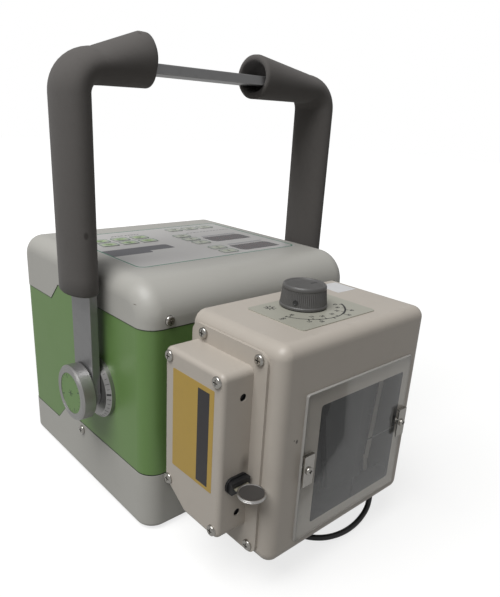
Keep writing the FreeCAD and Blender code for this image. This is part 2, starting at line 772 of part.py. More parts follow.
def handle_bar_solid(grow):
    """The U of flat bar, with its thickness and width enlarged on each side."""
    outer_x, inner_x = bar_outer_x + grow, bar_inner_x - grow
    top, under = bar_top_z + grow, bar_top_z - bar_thickness - grow
    inside = bar_bend_inside - grow
    outside = bar_bend_inside + bar_thickness + grow
    half = bar_width / 2 + grow
    y0 = pivot_y - half
    outer = rounded_corner_block(outer_x, y0, half, top, outside)
    inner = rounded_corner_block(inner_x, y0 - 1, half + 1, under, inside)
    bar = outer.cut(inner)
    if grow == 0:
        bar = bar.makeFillet(bar_edge_round, edges_where(
            bar, lambda e: (on_plane(e, Y, y0) or on_plane(e, Y, y0 + 2 * half)) and not on_plane(e, Z, pivot_z)))
    ends = [rod(vec(side * inner_x, pivot_y, pivot_z), side * X, half, outer_x - inner_x).common(
        block(-case_width, case_width, y0, y0 + 2 * half, 0, pivot_z)) for side in (-1, 1)]
    return bar.fuse(ends)


def rounded_corner_block(half_x, y0, half_y, top, radius):
    """A block from the pivots' height to a top whose two upper corners are rounded."""
    body = block(-half_x, half_x, y0, y0 + 2 * half_y, pivot_z, top)
    upper = edges_where(body, lambda e: along(e, Y) and on_plane(e, Z, top))
    return body.makeFillet(radius, upper)


handle_bar = handle_bar_solid(0).cut([
    rod(vec(side * (bar_inner_x - 1), pivot_y, pivot_z), side * X, stud_radius + running_clearance,
        bar_thickness + 2) for side in (-1, 1)]).removeSplitter()


def oval(centre, half_y, half_other, other_way):
    """A closed oval wire, wide along Y."""
    if half_y >= half_other:
        ellipse = Part.Ellipse(centre + Y * half_y, centre + other_way * half_other, centre)
    else:
        ellipse = Part.Ellipse(centre + other_way * half_other, centre + Y * half_y, centre)
    return Part.Wire([ellipse.toShape()])


def foam_grip(side, end_x, end_z, end_half_height):
    """A foam tube over one corner of the bar, thin round the bend and full at its open end."""
    straight_x = case_half_width + foam_clear_of_case + foam_half_thickness
    bend_radius = foam_bend_inside + foam_half_thickness
    bend_x = straight_x - bend_radius
    foot = vec(side * straight_x, pivot_y, foam_bottom_z)
    upright = Part.Face(oval(foot, foam_half_width, foam_half_thickness, X)).extrude(
        Z * (foam_bend_z - foam_bottom_z))
    elbow_foot = vec(side * straight_x, pivot_y, foam_bend_z)
    elbow = Part.Face(oval(elbow_foot, foam_half_width, foam_half_thickness, X)).revolve(
        vec(side * bend_x, pivot_y, foam_bend_z), Y, -side * 90)
    level_start = oval(vec(side * bend_x, pivot_y, foam_bend_z + bend_radius), foam_half_width,
                       foam_half_thickness, Z)
    level_end = oval(vec(side * end_x, pivot_y, end_z), foam_end_half_width, end_half_height, Z)
    level = Part.makeLoft([level_start, level_end], True, True)
    mouth = Part.Face(oval(vec(side * (end_x - 1), pivot_y, end_z), foam_hole_half_width,
                           foam_hole_half_height, Z)).extrude(vec(side * foam_hole_depth, 0, 0))
    bar_space = handle_bar_solid(seat_clearance)
    return join([piece.cut([bar_space, mouth]) for piece in (upright, elbow, level)])


# Collimator
inner_left, inner_right = collimator_left_x + collimator_wall, collimator_right_x - collimator_wall
inner_base, inner_top = collimator_base_z + collimator_wall, collimator_top_z - collimator_wall
inner_front_y = collimator_front_y + collimator_wall
plate_front_y = collimator_rear_y - back_plate_thickness


def collimator_shell():
    body = rounded_block(collimator_left_x, collimator_right_x, collimator_front_y, plate_front_y,
                         collimator_base_z, collimator_top_z, Y, collimator_corner)
    body = body.makeFillet(collimator_front_round, edges_where(body, lambda e: on_plane(e, Y, collimator_front_y)))
    hollow = rounded_block(inner_left, inner_right, inner_front_y, plate_front_y + 1, inner_base, inner_top, Y,
                           collimator_corner - collimator_wall)
    return body.cut(hollow)


shutter_y = collimator_front_y + shutter_front_inset
side_rail_z = shutter_length / 2 + guide_clearance
upright_x = shutter_length / 2 + guide_clearance
rail_rear_y = shutter_y + shutter_thickness + guide_clearance
shutter_two_y = shutter_y + shutter_thickness + shutter_pair_gap
shutter_guides = []
for side in (-1, 1):
    z = beam_z + side * side_rail_z
    shutter_guides.append(block(inner_left - 1, inner_right + 1, inner_front_y - 1, rail_rear_y,
                                z, z + side * guide_thickness))
    x = beam_x + side * upright_x
    shutter_guides.append(block(x, x + side * guide_thickness, rail_rear_y, shutter_two_y + shutter_thickness,
                                beam_z - side_rail_z - guide_thickness, beam_z + side_rail_z + guide_thickness))

aperture_cut = rounded_block(beam_x - aperture_size / 2, beam_x + aperture_size / 2, collimator_front_y - 1,
                             inner_front_y + 1, beam_z - aperture_size / 2, beam_z + aperture_size / 2, Y,
                             aperture_corner)
side_plate_y0 = collimator_front_y + side_plate_front_inset
side_plate_y1 = collimator_rear_y - 0.3
side_plate_z0 = collimator_base_z + side_plate_base_inset
side_plate_z1 = collimator_top_z - side_plate_top_inset
side_screw_places = [(y, z) for y in (side_plate_y0 + side_screw_front_inset, side_plate_y1 - side_screw_rear_inset)
                     for z in (side_plate_z0 + side_screw_height_inset, side_plate_z1 - side_screw_height_inset)]
service_window = block(collimator_left_x - 1, inner_left + 1,
                       rail_rear_y + side_plate_window_inset, side_plate_y1 - 2 * side_plate_window_inset,
                       side_plate_z0 + side_plate_window_inset, side_plate_z1 - side_plate_window_inset)
side_screw_holes = [rod(vec(side_plate_x - 1, y, z), X, screw_shank_radius, side_plate_thickness + collimator_wall + 2)
                    for y, z in side_screw_places]
clip_centre_x = [window_centre_x + side * (window_width / 2 - clip_inset) for side in (-1, 1)]
clip_screw_holes = [rod(vec(x, collimator_front_y - 1, clip_z), Y, clip_screw_radius, collimator_wall + 2)
                    for x in clip_centre_x]
field_shaft_hole = rod(vec(field_knob_x, field_knob_y, inner_top - 1), Z, field_shaft_radius + running_clearance,
                       collimator_wall + 3)
lead_start = vec(*lead_route[0])
lead_end = vec(*lead_route[-1])
lead_hole = rod(vec(lead_start.x, lead_start.y, collimator_base_z - 1), Z, lead_diameter / 2, collimator_wall + 2)
collimator_housing = collimator_shell()
collimator_housing = collimator_housing.fuse([guide.common(
    block(inner_left - 0.5, inner_right + 0.5, inner_front_y - 0.5, plate_front_y, inner_base, inner_top))
    for guide in shutter_guides])
collimator_housing = collimator_housing.cut([aperture_cut, service_window, field_shaft_hole, lead_hole]
                                            + side_screw_holes + clip_screw_holes).removeSplitter()

# The back plate, its neck to the tank and the mirror's two cheeks
back_plate = rounded_block(collimator_left_x, collimator_right_x, plate_front_y, collimator_rear_y,
                           collimator_base_z, collimator_top_z, Y, collimator_corner)
neck = rod(vec(beam_x, collimator_rear_y - 1, beam_z), Y, neck_radius, band_front_y - collimator_rear_y + 1)
spigot = rod(vec(beam_x, band_front_y - 1, beam_z), Y, spigot_radius, tank_front_y - band_front_y + 1)
mirror_half = mirror_length / 2 * math.sqrt(0.5)
cheek_base_z = beam_z - mirror_half - cheek_drop
cheek_tip_z = beam_z + mirror_half * 0.6
cheek_outline = [(plate_front_y + 1, cheek_base_z), (plate_front_y + 1, cheek_base_z + cheek_foot),
                 (mirror_y - mirror_half * 0.6, cheek_tip_z + cheek_tip / 2),
                 (mirror_y - mirror_half * 0.6, cheek_tip_z - cheek_tip / 2)]
cheeks = [prism_x(cheek_outline, beam_x + side * (mirror_half_width + 0.2),
                  beam_x + side * (mirror_half_width + 0.2 + mirror_cheek)) for side in (-1, 1)]
collimator_back_plate = back_plate.fuse([neck, spigot] + cheeks).cut(
    [rod(vec(beam_x, plate_front_y - 1, beam_z), Y, neck_bore, 2 + collimator_rear_y - plate_front_y
         + tank_front_y - collimator_rear_y)]
    + [rod(vec(x, plate_front_y - 1, z), Y, neck_bolt_radius + 0.1, tank_front_y - plate_front_y + 2)
       for x, z in neck_bolt_places]).removeSplitter()

light_mirror = block(beam_x - mirror_half_width, beam_x + mirror_half_width, mirror_y - mirror_thickness / 2,
                     mirror_y + mirror_thickness / 2, beam_z - mirror_length / 2, beam_z + mirror_length / 2)
light_mirror.rotate(vec(beam_x, mirror_y, beam_z), X, 45)

lamp_wide, lamp_deep, lamp_high = lamp_base
field_lamp = join([
    block(beam_x - lamp_wide / 2, beam_x + lamp_wide / 2, lamp_y - lamp_deep / 2, lamp_y + lamp_deep / 2,
          inner_base, inner_base + lamp_high),
    rod(vec(beam_x, lamp_y, inner_base + lamp_high - 1), Z, lamp_radius, lamp_height + 1)])

# The side plate and what it carries
side_plate = rounded_block(side_plate_x, collimator_left_x, side_plate_y0, side_plate_y1, side_plate_z0,
                           side_plate_z1, X, side_plate_corner).cut(side_screw_holes)

laser_screw_places = [
    (laser_front_y + laser_screw_inset, laser_top_z - laser_screw_inset),
    (laser_rear_y - laser_screw_inset, laser_top_z - laser_screw_inset),
    (laser_front_y + laser_screw_inset, laser_base_z + laser_screw_inset),
    (laser_rear_y - laser_screw_inset, laser_base_z + laser_chamfer_height + laser_screw_inset * 0.5)]


def laser_outline(inset):
    y0, y1 = laser_front_y + inset, laser_rear_y - inset
    z0, z1 = laser_base_z + inset, laser_top_z - inset
    return [(y0, z0), (y1 - laser_chamfer_length, z0), (y1, z0 + laser_chamfer_height), (y1, z1), (y0, z1)]


laser_shell = prism_x(laser_outline(0), laser_left_x, side_plate_x)
laser_shell = laser_shell.makeFillet(laser_corner, edges_where(laser_shell, lambda e: along(e, X)))
laser_shell = laser_shell.makeFillet(laser_face_round, edges_where(laser_shell, lambda e: on_plane(e, X, laser_left_x)))
laser_hollow = prism_x(laser_outline(laser_wall), laser_left_x + laser_wall, side_plate_x + 1)
laser_hollow = laser_hollow.makeFillet(laser_corner - laser_wall, edges_where(laser_hollow, lambda e: along(e, X)))
laser_shell = laser_shell.cut(laser_hollow)
laser_shell = laser_shell.fuse([rod(vec(laser_left_x + laser_wall - 0.5, y, z), X, laser_boss_radius,
                                    laser_depth - laser_wall + 0.5) for y, z in laser_screw_places])
laser_tube_x = side_plate_x - laser_tube_inset
spool_z = tape_z + tape_thickness / 2 + guide_clearance + tape_spool_radius
spool_y = laser_front_y + laser_length / 2
spool_pin = rod(vec(laser_left_x + laser_wall - 0.5, spool_y, spool_z), X, tape_pin_radius - running_clearance,
                laser_depth - laser_wall - 0.5)
mouth_cut = block(tape_x - mouth_block_width / 2, tape_x + mouth_block_width / 2, laser_front_y - 1,
                  laser_front_y + laser_wall + 1, tape_z - mouth_block_height / 2, tape_z + mouth_block_height / 2)
laser_housing = laser_shell.fuse(spool_pin).cut(
    [mouth_cut]
    + [rod(vec(laser_tube_x, laser_front_y - 1, z), Y, laser_hole_radius, laser_wall + 2) for z in laser_hole_z]
    + [rod(vec(laser_left_x - 1, y, z), X, clip_screw_radius + 0.1, laser_depth + 2) for y, z in laser_screw_places])
laser_housing = laser_housing.removeSplitter()
side_plate = side_plate.cut([rod(vec(side_plate_x - 1, y, z), X, clip_screw_radius, side_plate_thickness + 2)
                             for y, z in laser_screw_places])

laser_modules = []
for z in laser_hole_z:
    tube = rod(vec(laser_tube_x, laser_front_y + laser_wall + 0.1, z), Y, laser_tube_radius, laser_tube_length)
    saddle_y = laser_front_y + laser_wall + laser_saddle_set_back
    saddle = block(laser_tube_x, side_plate_x, saddle_y, saddle_y + laser_saddle_length,
                   z - laser_saddle_height / 2, z + laser_saddle_height / 2)
    laser_modules.append(tube.fuse(saddle).removeSplitter())
laser_modules = Part.makeCompound(laser_modules)

# Distance tape: mouth, blade, pull tab and spool
slot_half_width = tape_width / 2 + mouth_slot_clearance
slot_half_height = tape_thickness / 2 + mouth_slot_clearance
tape_slot = block(tape_x - slot_half_width, tape_x + slot_half_width, laser_front_y - mouth_reach - 1,
                  laser_front_y + laser_wall + 2, tape_z - slot_half_height, tape_z + slot_half_height)
tape_mouth = join([
    rounded_block(tape_x - mouth_width / 2, tape_x + mouth_width / 2, laser_front_y - mouth_flange, laser_front_y,
                  tape_z - mouth_height / 2, tape_z + mouth_height / 2, Y, mouth_height * 0.45),
    block(tape_x - mouth_block_width / 2, tape_x + mouth_block_width / 2, laser_front_y - mouth_reach,
          laser_front_y + laser_wall, tape_z - mouth_block_height / 2, tape_z + mouth_block_height / 2)
]).cut(tape_slot)
tab_y = laser_front_y - mouth_reach - tab_gap - tab_radius
tape_blade = block(tape_x - tape_width / 2, tape_x + tape_width / 2, tab_y, spool_y,
                   tape_z - tape_thickness / 2, tape_z + tape_thickness / 2)
tape_tab = rod(vec(tape_x, tab_y, tape_z - tab_thickness / 2), Z, tab_radius, tab_thickness)
tape_tab = tape_tab.makeFillet(0.5, edges_where(tape_tab, lambda e: e.Curve.TypeId == "Part::GeomCircle"))
tape_tab = tape_tab.cut(tape_blade)
spool_bore = rod(vec(tape_x - tape_width, spool_y, spool_z), X, tape_pin_radius, 2 * tape_width)
tape_spool = rod(vec(tape_x - tape_width / 2, spool_y, spool_z), X, tape_spool_radius, tape_width).cut(spool_bore)

# Window plate and its two clips
window_plate = block(window_centre_x - window_width / 2, window_centre_x + window_width / 2,
                     collimator_front_y - window_thickness, collimator_front_y,
                     window_centre_z - window_height / 2, window_centre_z + window_height / 2)
window_notches = []
for side in (-1, 1):
    edge_x = window_centre_x + side * window_width / 2
    window_notches.append(block(edge_x + side, edge_x - side * window_notch_depth,
                                collimator_front_y - window_thickness - 1, collimator_front_y + 1,
                                clip_z - window_notch_width / 2, clip_z + window_notch_width / 2))
window_plate = window_plate.cut(window_notches)

clip_back_y = collimator_front_y - window_thickness - clip_stand_off
clips = []
for x in clip_centre_x:
    leaf = block(x - clip_width / 2, x + clip_width / 2, clip_back_y - clip_thickness, clip_back_y,
                 clip_z - clip_height / 2, clip_z + clip_height / 2)
    toe = block(x - clip_width / 2, x + clip_width / 2, clip_back_y, collimator_front_y - window_thickness,
                clip_z + clip_height / 2 - clip_thickness, clip_z + clip_height / 2)
    spacer = rod(vec(x, clip_back_y, clip_z), Y, clip_spacer_radius, collimator_front_y - clip_back_y)
    clips.append(join([leaf, toe, spacer]).cut(
        rod(vec(x, clip_back_y - 2, clip_z), Y, clip_screw_radius, collimator_front_y - clip_back_y + 3)))
window_clips = Part.makeCompound(clips)

# Scale plate, field knob and shaft
scale_y0 = collimator_front_y + scale_front_inset
scale_plate = rounded_block(scale_x - scale_width / 2, scale_x + scale_width / 2, scale_y0, scale_y0 + scale_depth,
                            collimator_top_z, collimator_top_z + scale_thickness, Z, scale_corner)
scale_plate = scale_plate.cut(rod(vec(field_knob_x, field_knob_y, collimator_top_z - 1), Z,
                                  field_shaft_radius + seat_clearance, scale_thickness + 2))
knob_base_z = collimator_top_z + scale_thickness + field_knob_gap
knob_centre = vec(field_knob_x, field_knob_y, knob_base_z)
knob_outline = [(0, 0), (field_knob_radius, 0), (field_knob_radius, field_knob_base),
                (field_knob_radius - 0.8, field_knob_base + 0.6), (field_knob_top_radius, field_knob_height - 1.2),
                (field_knob_top_radius - 1.2, field_knob_height), (0, field_knob_height)]
knob_wire = Part.makePolygon([knob_centre + vec(r, 0, z) for r, z in knob_outline + [knob_outline[0]]])
shaft_reach = field_knob_height - 4
field_knob = Part.Face(knob_wire).revolve(knob_centre, Z, 360).cut(
    rod(knob_centre - Z, Z, field_shaft_radius, shaft_reach + 1))
cam_top_z = inner_top - field_cam_drop
knob_shaft = join([
    rod(vec(field_knob_x, field_knob_y, cam_top_z - field_cam_thickness), Z, field_shaft_radius,
        knob_base_z + shaft_reach - cam_top_z + field_cam_thickness),
    rod(vec(field_knob_x, field_knob_y, cam_top_z - field_cam_thickness), Z, field_cam_radius,
        field_cam_thickness)])

# Shutters: one pair closes from the sides, the other from above and below
shutter_half = shutter_length / 2
shutters = {}
for name, side in (("shutter_left", -1), ("shutter_right", 1)):
    near = beam_x + side * shutter_rest_gap
    shutters[name] = block(near, near + side * shutter_width, shutter_y, shutter_y + shutter_thickness,
                           beam_z - shutter_half, beam_z + shutter_half)
for name, side in (("shutter_lower", -1), ("shutter_upper", 1)):
    near = beam_z + side * shutter_rest_gap
    shutters[name] = block(beam_x - shutter_half, beam_x + shutter_half, shutter_two_y,
                           shutter_two_y + shutter_thickness, near, near + side * shutter_width)

# Collimator screws: side plate, laser housing, clips and the neck's bolts
collimator_screws = [pan_screw(vec(side_plate_x, y, z), X, screw_head_radius, screw_head_height,
                               screw_shank_radius - 0.02, side_plate_thickness + collimator_wall - 0.5)
                     for y, z in side_screw_places]
collimator_screws += [pan_screw(vec(laser_left_x, y, z), X, screw_head_radius, laser_screw_head_height,
                                clip_screw_radius - 0.02, laser_depth + side_plate_thickness - 0.2)
                      for y, z in laser_screw_places]
collimator_screws += [pan_screw(vec(x, clip_back_y - clip_thickness, clip_z), Y, clip_screw_head_radius,
                                laser_screw_head_height, clip_screw_radius - 0.02,
                                collimator_front_y + collimator_wall - clip_back_y + clip_thickness)
                      for x in clip_centre_x]
collimator_screws += [pan_screw(vec(x, bolt_seat_y, z), Y, neck_bolt_head_radius, neck_bolt_head_height,
                                neck_bolt_radius, bolt_length) for x, z in neck_bolt_places]


# The lead from the collimator's underside to the case: straight runs joined by tangent arcs

def lead_tube(points, diameter):
    points = [vec(*p) for p in points]
    edges = []
    start = points[0]
    for before, corner, after in zip(points, points[1:], points[2:]):
        back, ahead = before - corner, after - corner
        run = min(back.Length, ahead.Length)
        back.normalize()
        ahead.normalize()
        turn = math.pi - back.getAngle(ahead)
        cut = 0.45 * run
        radius = cut / math.tan(turn / 2)
        print("lead: turn %.0f degrees, radius %.1f mm" % (math.degrees(turn), radius))
        into, out = corner + back * cut, corner + ahead * cut
        inward = back + ahead
        inward.normalize()
        middle = corner + inward * (math.hypot(cut, radius) - radius)
        edges.append(Part.LineSegment(start, into).toShape())
        edges.append(Part.Arc(into, middle, out).toShape())
        start = out
    edges.append(Part.LineSegment(start, points[-1]).toShape())
    path = Part.Wire(edges)
    way = points[1] - points[0]
    way.normalize()
    section = Part.Wire([Part.Circle(points[0], way, diameter / 2).toShape()])
    tube = path.makePipeShell([section], True, False)
    expected = math.pi * diameter ** 2 / 4 * path.Length
    print("lead: length %.1f mm, volume %.1f of %.1f mm3" % (path.Length, tube.Volume, expected))
    return tube


collimator_lead = lead_tube(lead_route, lead_diameter)
upper_gland = Part.makeCone(lead_gland_radius * 0.72, lead_gland_radius,
                            collimator_base_z - lead_start.z, lead_start, Z)
lower_gland = Part.makeCone(lead_gland_radius * 0.72, lead_gland_radius,
                            case_front_y - lead_end.y, lead_end, Y)
lead_glands = Part.makeCompound([gland.cut(collimator_lead) for gland in (upper_gland, lower_gland)])

nodes = {
    "bottom_cover": bottom_cover,
    "middle_band": middle_band,
    "top_cover": top_cover,
    "case_screws": Part.makeCompound(case_screw_solids),
    "rubber_feet": rubber_feet,
    "control_overlay": control_overlay,
    "display_windows": display_windows,
    "control_board": control_board,
    "xray_tank": xray_tank,
    "xray_tube": xray_tube,
    "inverter_board": inverter_board,
    "mains_inlet": mains_inlet,
    "power_rocker": rocker,
    "hand_switch_socket": hand_switch_socket,
    "angle_dials": Part.makeCompound([angle_dial(-1), angle_dial(1)]),
    "pivot_studs": Part.makeCompound([pivot_stud(-1), pivot_stud(1)]),
    "handle_bar": handle_bar,
    "left_foam_grip": foam_grip(-1, left_end_x, left_end_z, left_end_half_height),
    "right_foam_grip": foam_grip(1, right_end_x, right_end_z, right_end_half_height),
    "left_clamp_knob": clamp_knob(-1),
    "right_clamp_knob": clamp_knob(1),
    "left_knob_cap": knob_cap(-1),
    "right_knob_cap": knob_cap(1),
    "collimator_housing": collimator_housing,
    "collimator_back_plate": collimator_back_plate,
    "side_plate": side_plate,
    "collimator_screws": Part.makeCompound(collimator_screws),
    "laser_housing": laser_housing,
    "laser_modules": laser_modules,
    "tape_mouth": tape_mouth,
    "tape_blade": tape_blade,
    "tape_tab": tape_tab,
    "tape_spool": tape_spool,
    "window_plate": window_plate,
    "window_clips": window_clips,
    "scale_plate": scale_plate,
    "field_knob": field_knob,
    "knob_shaft": knob_shaft,
    "light_mirror": light_mirror,
    "field_lamp": field_lamp,
    "collimator_lead": collimator_lead,
    "lead_glands": lead_glands,
}
nodes.update(shutters)
for name, (x, y) in keys.items():
    nodes[name] = key_block(x, y, 0, key_base_z, panel_top_z + key_proud)

os.makedirs("parts", exist_ok=True)
for name, shape in nodes.items():
    solids = shape.Solids
    if not solids or not all(solid.isValid() for solid in solids):
        print("check", name, "solids", len(solids))
    shape.exportStep(os.path.join("parts", name + ".step"))
print("nodes", len(nodes))
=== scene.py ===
import math
import bmesh
import bpy
from mathutils import Matrix, Vector


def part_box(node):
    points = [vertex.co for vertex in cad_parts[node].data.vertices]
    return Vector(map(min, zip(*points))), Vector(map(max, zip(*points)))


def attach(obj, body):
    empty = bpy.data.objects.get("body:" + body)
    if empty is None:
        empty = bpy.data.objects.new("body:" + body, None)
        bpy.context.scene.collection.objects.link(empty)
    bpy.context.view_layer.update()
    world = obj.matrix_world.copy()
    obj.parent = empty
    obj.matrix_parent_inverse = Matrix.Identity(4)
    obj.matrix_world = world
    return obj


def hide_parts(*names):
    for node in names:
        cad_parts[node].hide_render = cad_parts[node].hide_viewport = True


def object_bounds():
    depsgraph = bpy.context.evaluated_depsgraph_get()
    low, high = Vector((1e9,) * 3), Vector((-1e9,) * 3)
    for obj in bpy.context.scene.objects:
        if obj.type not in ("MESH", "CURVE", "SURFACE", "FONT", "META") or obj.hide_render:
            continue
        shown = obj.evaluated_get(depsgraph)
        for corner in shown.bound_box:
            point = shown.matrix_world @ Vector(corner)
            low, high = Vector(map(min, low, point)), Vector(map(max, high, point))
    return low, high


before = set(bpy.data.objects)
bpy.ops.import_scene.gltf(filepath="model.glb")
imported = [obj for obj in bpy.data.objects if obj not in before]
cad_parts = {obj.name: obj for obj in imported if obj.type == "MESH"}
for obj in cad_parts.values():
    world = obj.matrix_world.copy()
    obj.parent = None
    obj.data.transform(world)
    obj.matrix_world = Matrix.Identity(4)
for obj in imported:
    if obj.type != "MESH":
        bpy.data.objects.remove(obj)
cad_low, cad_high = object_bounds()


# The studio: a plain pale floor, a soft sky all round, one large soft lamp above on the left, and
# the camera at the height and distance from which the object was photographed.
MM = 0.001
scene = bpy.context.scene
scene.view_settings.view_transform = "Standard"

camera_lens = bpy.data.cameras.new("photo_camera")
camera_lens.lens = 33.92
camera_lens.sensor_width = 36.0
camera_lens.shift_x = 0.0167
camera_lens.shift_y = 0.0431
camera_lens.clip_start = 0.01
camera = bpy.data.objects.new("photo_camera", camera_lens)
camera.location = (-0.30692, -0.41808, 0.31508)
camera.rotation_euler = [math.radians(angle) for angle in (69.964, -2.866, -41.175)]
scene.collection.objects.link(camera)
scene.camera = camera


def add_math(tree, kind, first, second=0.0, clamp=False):
    """A math node of that kind on two sockets or numbers."""
    node = tree.nodes.new("ShaderNodeMath")
    node.operation = kind
    node.use_clamp = clamp
    for place, value in enumerate((first, second)):
        if isinstance(value, (int, float)):
            node.inputs[place].default_value = value
        else:
            tree.links.new(value, node.inputs[place])
    return node.outputs[0]


def add_vector_math(tree, kind, first, second=None):
    """A vector math node of that kind on one socket, or on a socket and a second socket or vector."""
    node = tree.nodes.new("ShaderNodeVectorMath")
    node.operation = kind
    tree.links.new(first, node.inputs[0])
    if isinstance(second, Vector):
        node.inputs[1].default_value = second
    elif second is not None:
        tree.links.new(second, node.inputs[1])
    return node.outputs["Vector" if kind == "SUBTRACT" else "Value"]


def add_ramp(tree, value, source, target):
    """A map range node that takes a value from one range to another, each given as its two ends."""
    node = tree.nodes.new("ShaderNodeMapRange")
    for label, end in zip(("From Min", "From Max", "To Min", "To Max"), (*source, *target)):
        node.inputs[label].default_value = end
    tree.links.new(value, node.inputs["Value"])
    return node.outputs["Result"]


def white_for_the_eye(tree):
    """A mask: 1 for the rays that show the backdrop to the eye, less in a mirror or through glass."""
    share_in_mirrors = 0.35
    path = tree.nodes.new("ShaderNodeLightPath")
    indirect = add_math(tree, "MAXIMUM", path.outputs["Is Glossy Ray"], path.outputs["Is Transmission Ray"])
    dimmed = add_math(tree, "MULTIPLY", indirect, share_in_mirrors)
    return add_math(tree, "MAXIMUM", path.outputs["Is Camera Ray"], dimmed)


sky = bpy.data.worlds.new("studio_sky")
sky.use_nodes = True
sky_nodes = sky.node_tree.nodes
sky_links = sky.node_tree.links
soft_light = sky_nodes["Background"]
soft_light.inputs["Color"].default_value = (1.0, 0.99, 0.975, 1.0)
soft_light.inputs["Strength"].default_value = 0.17
white_back = sky_nodes.new("ShaderNodeBackground")
white_back.inputs["Color"].default_value = (1.0, 1.0, 1.0, 1.0)
sky_mix = sky_nodes.new("ShaderNodeMixShader")
sky_links.new(white_for_the_eye(sky.node_tree), sky_mix.inputs["Fac"])
sky_links.new(soft_light.outputs[0], sky_mix.inputs[1])
sky_links.new(white_back.outputs[0], sky_mix.inputs[2])
sky_links.new(sky_mix.outputs[0], sky_nodes["World Output"].inputs["Surface"])
scene.world = sky

floor_half = 6.0
floor_drop = 0.0002
floor_mesh = bmesh.new()
bmesh.ops.create_grid(floor_mesh, x_segments=8, y_segments=8, size=floor_half)
bmesh.ops.translate(floor_mesh, verts=floor_mesh.verts, vec=(0, 0, cad_low[2] - floor_drop))
floor_data = bpy.data.meshes.new("studio_floor")
floor_mesh.to_mesh(floor_data)
floor_mesh.free()
studio_floor = bpy.data.objects.new("studio_floor", floor_data)
scene.collection.objects.link(studio_floor)
floor_paint = bpy.data.materials.new("pale_floor")
floor_paint.use_nodes = True
floor_tree = floor_paint.node_tree
floor_shader = floor_tree.nodes["Principled BSDF"]
floor_shader.inputs["Base Color"].default_value = (0.3, 0.3, 0.295, 1.0)
floor_shader.inputs["Roughness"].default_value = 0.9
floor_shader.inputs["Specular IOR Level"].default_value = 0.1
floor_shader.inputs["Emission Color"].default_value = (1.0, 1.0, 1.0, 1.0)
floor_place = floor_tree.nodes.new("ShaderNodeTexCoord")
floor_reach = add_vector_math(floor_tree, "LENGTH", floor_place.outputs["Object"])
floor_level = add_ramp(floor_tree, floor_reach, (0.3, 1.1), (0.76, 1.0))
floor_glow = add_math(floor_tree, "MULTIPLY", white_for_the_eye(floor_tree), floor_level)
floor_tree.links.new(floor_glow, floor_shader.inputs["Emission Strength"])
floor_data.materials.append(floor_paint)

key_light = bpy.data.lights.new("key_lamp", "AREA")
key_light.shape = "SQUARE"
key_light.size = 1.5
key_light.energy = 50.0
key_lamp = bpy.data.objects.new("key_lamp", key_light)
key_lamp.location = (-1.13, -0.28, 2.08)
key_aim = Vector((0.0, -0.05, 0.15)) - key_lamp.location
key_lamp.rotation_euler = key_aim.to_track_quat("-Z", "Y").to_euler()
scene.collection.objects.link(key_lamp)


# The lead from the collimator to the case: a round black PVC cable that leaves a gland under the
# collimator, lies in one open loop below it and enters the case's front wall low down. Its skin
# has the surface life that every finish here shares: a slow drift of tone, soil, smears and grain.
def open_group(name, output, inputs):
    """A new shader node group with one output, and what its inputs give and its output takes."""
    group = bpy.data.node_groups.new(name, "ShaderNodeTree")
    for label, value in inputs.items():
        kind = "NodeSocketColor" if isinstance(value, tuple) else "NodeSocketFloat"
        socket = group.interface.new_socket(name=label, in_out="INPUT", socket_type=kind)
        socket.default_value = value
    kind = "NodeSocketColor" if output == "Color" else "NodeSocketFloat"
    group.interface.new_socket(name=output, in_out="OUTPUT", socket_type=kind)
    return group, group.nodes.new("NodeGroupInput").outputs, group.nodes.new("NodeGroupOutput").inputs


def use_group(tree, group, **amounts):
    """A shared group in a finish, with that finish's own amounts."""
    node = tree.nodes.new("ShaderNodeGroup")
    node.node_tree = group
    for label, amount in amounts.items():
        node.inputs[label.replace("_", " ")].default_value = amount
    return node.outputs[0]


def own_place(tree, stretch=(1.0, 1.0, 1.0), shift=(0.0, 0.0, 0.0)):
    """The piece's own coordinates, stretched and then shifted."""
    coordinates = tree.nodes.new("ShaderNodeTexCoord")
    mapping = tree.nodes.new("ShaderNodeMapping")
    mapping.inputs["Scale"].default_value = stretch
    mapping.inputs["Location"].default_value = shift
    tree.links.new(coordinates.outputs["Object"], mapping.inputs["Vector"])
    return mapping.outputs["Vector"]


def add_noise(tree, scale_socket, detail, stretch=(1.0, 1.0, 1.0)):
    """A noise texture on the piece's own coordinates, stretched if asked."""
    noise = tree.nodes.new("ShaderNodeTexNoise")
    noise.inputs["Detail"].default_value = detail
    tree.links.new(own_place(tree, stretch), noise.inputs["Vector"])
    tree.links.new(scale_socket, noise.inputs["Scale"])
    return noise.outputs["Fac"]


def swing(tree, noise, middle, steepness, clamp=False):
    """Noise as a swing round its middle value, made steeper."""
    return add_math(tree, "MULTIPLY", add_math(tree, "SUBTRACT", noise, middle, clamp), steepness, clamp)


def add_blend(tree, amount, first, second):
    """A mix of two colours; each is a socket or four numbers."""
    node = tree.nodes.new("ShaderNodeMix")
    node.data_type = "RGBA"
    amount_input, first_input, second_input = 0, 6, 7
    for label, value in ((amount_input, amount), (first_input, first), (second_input, second)):
        if isinstance(value, (int, float, tuple)):
            node.inputs[label].default_value = value
        else:
            tree.links.new(value, node.inputs[label])
    return node.outputs[2]


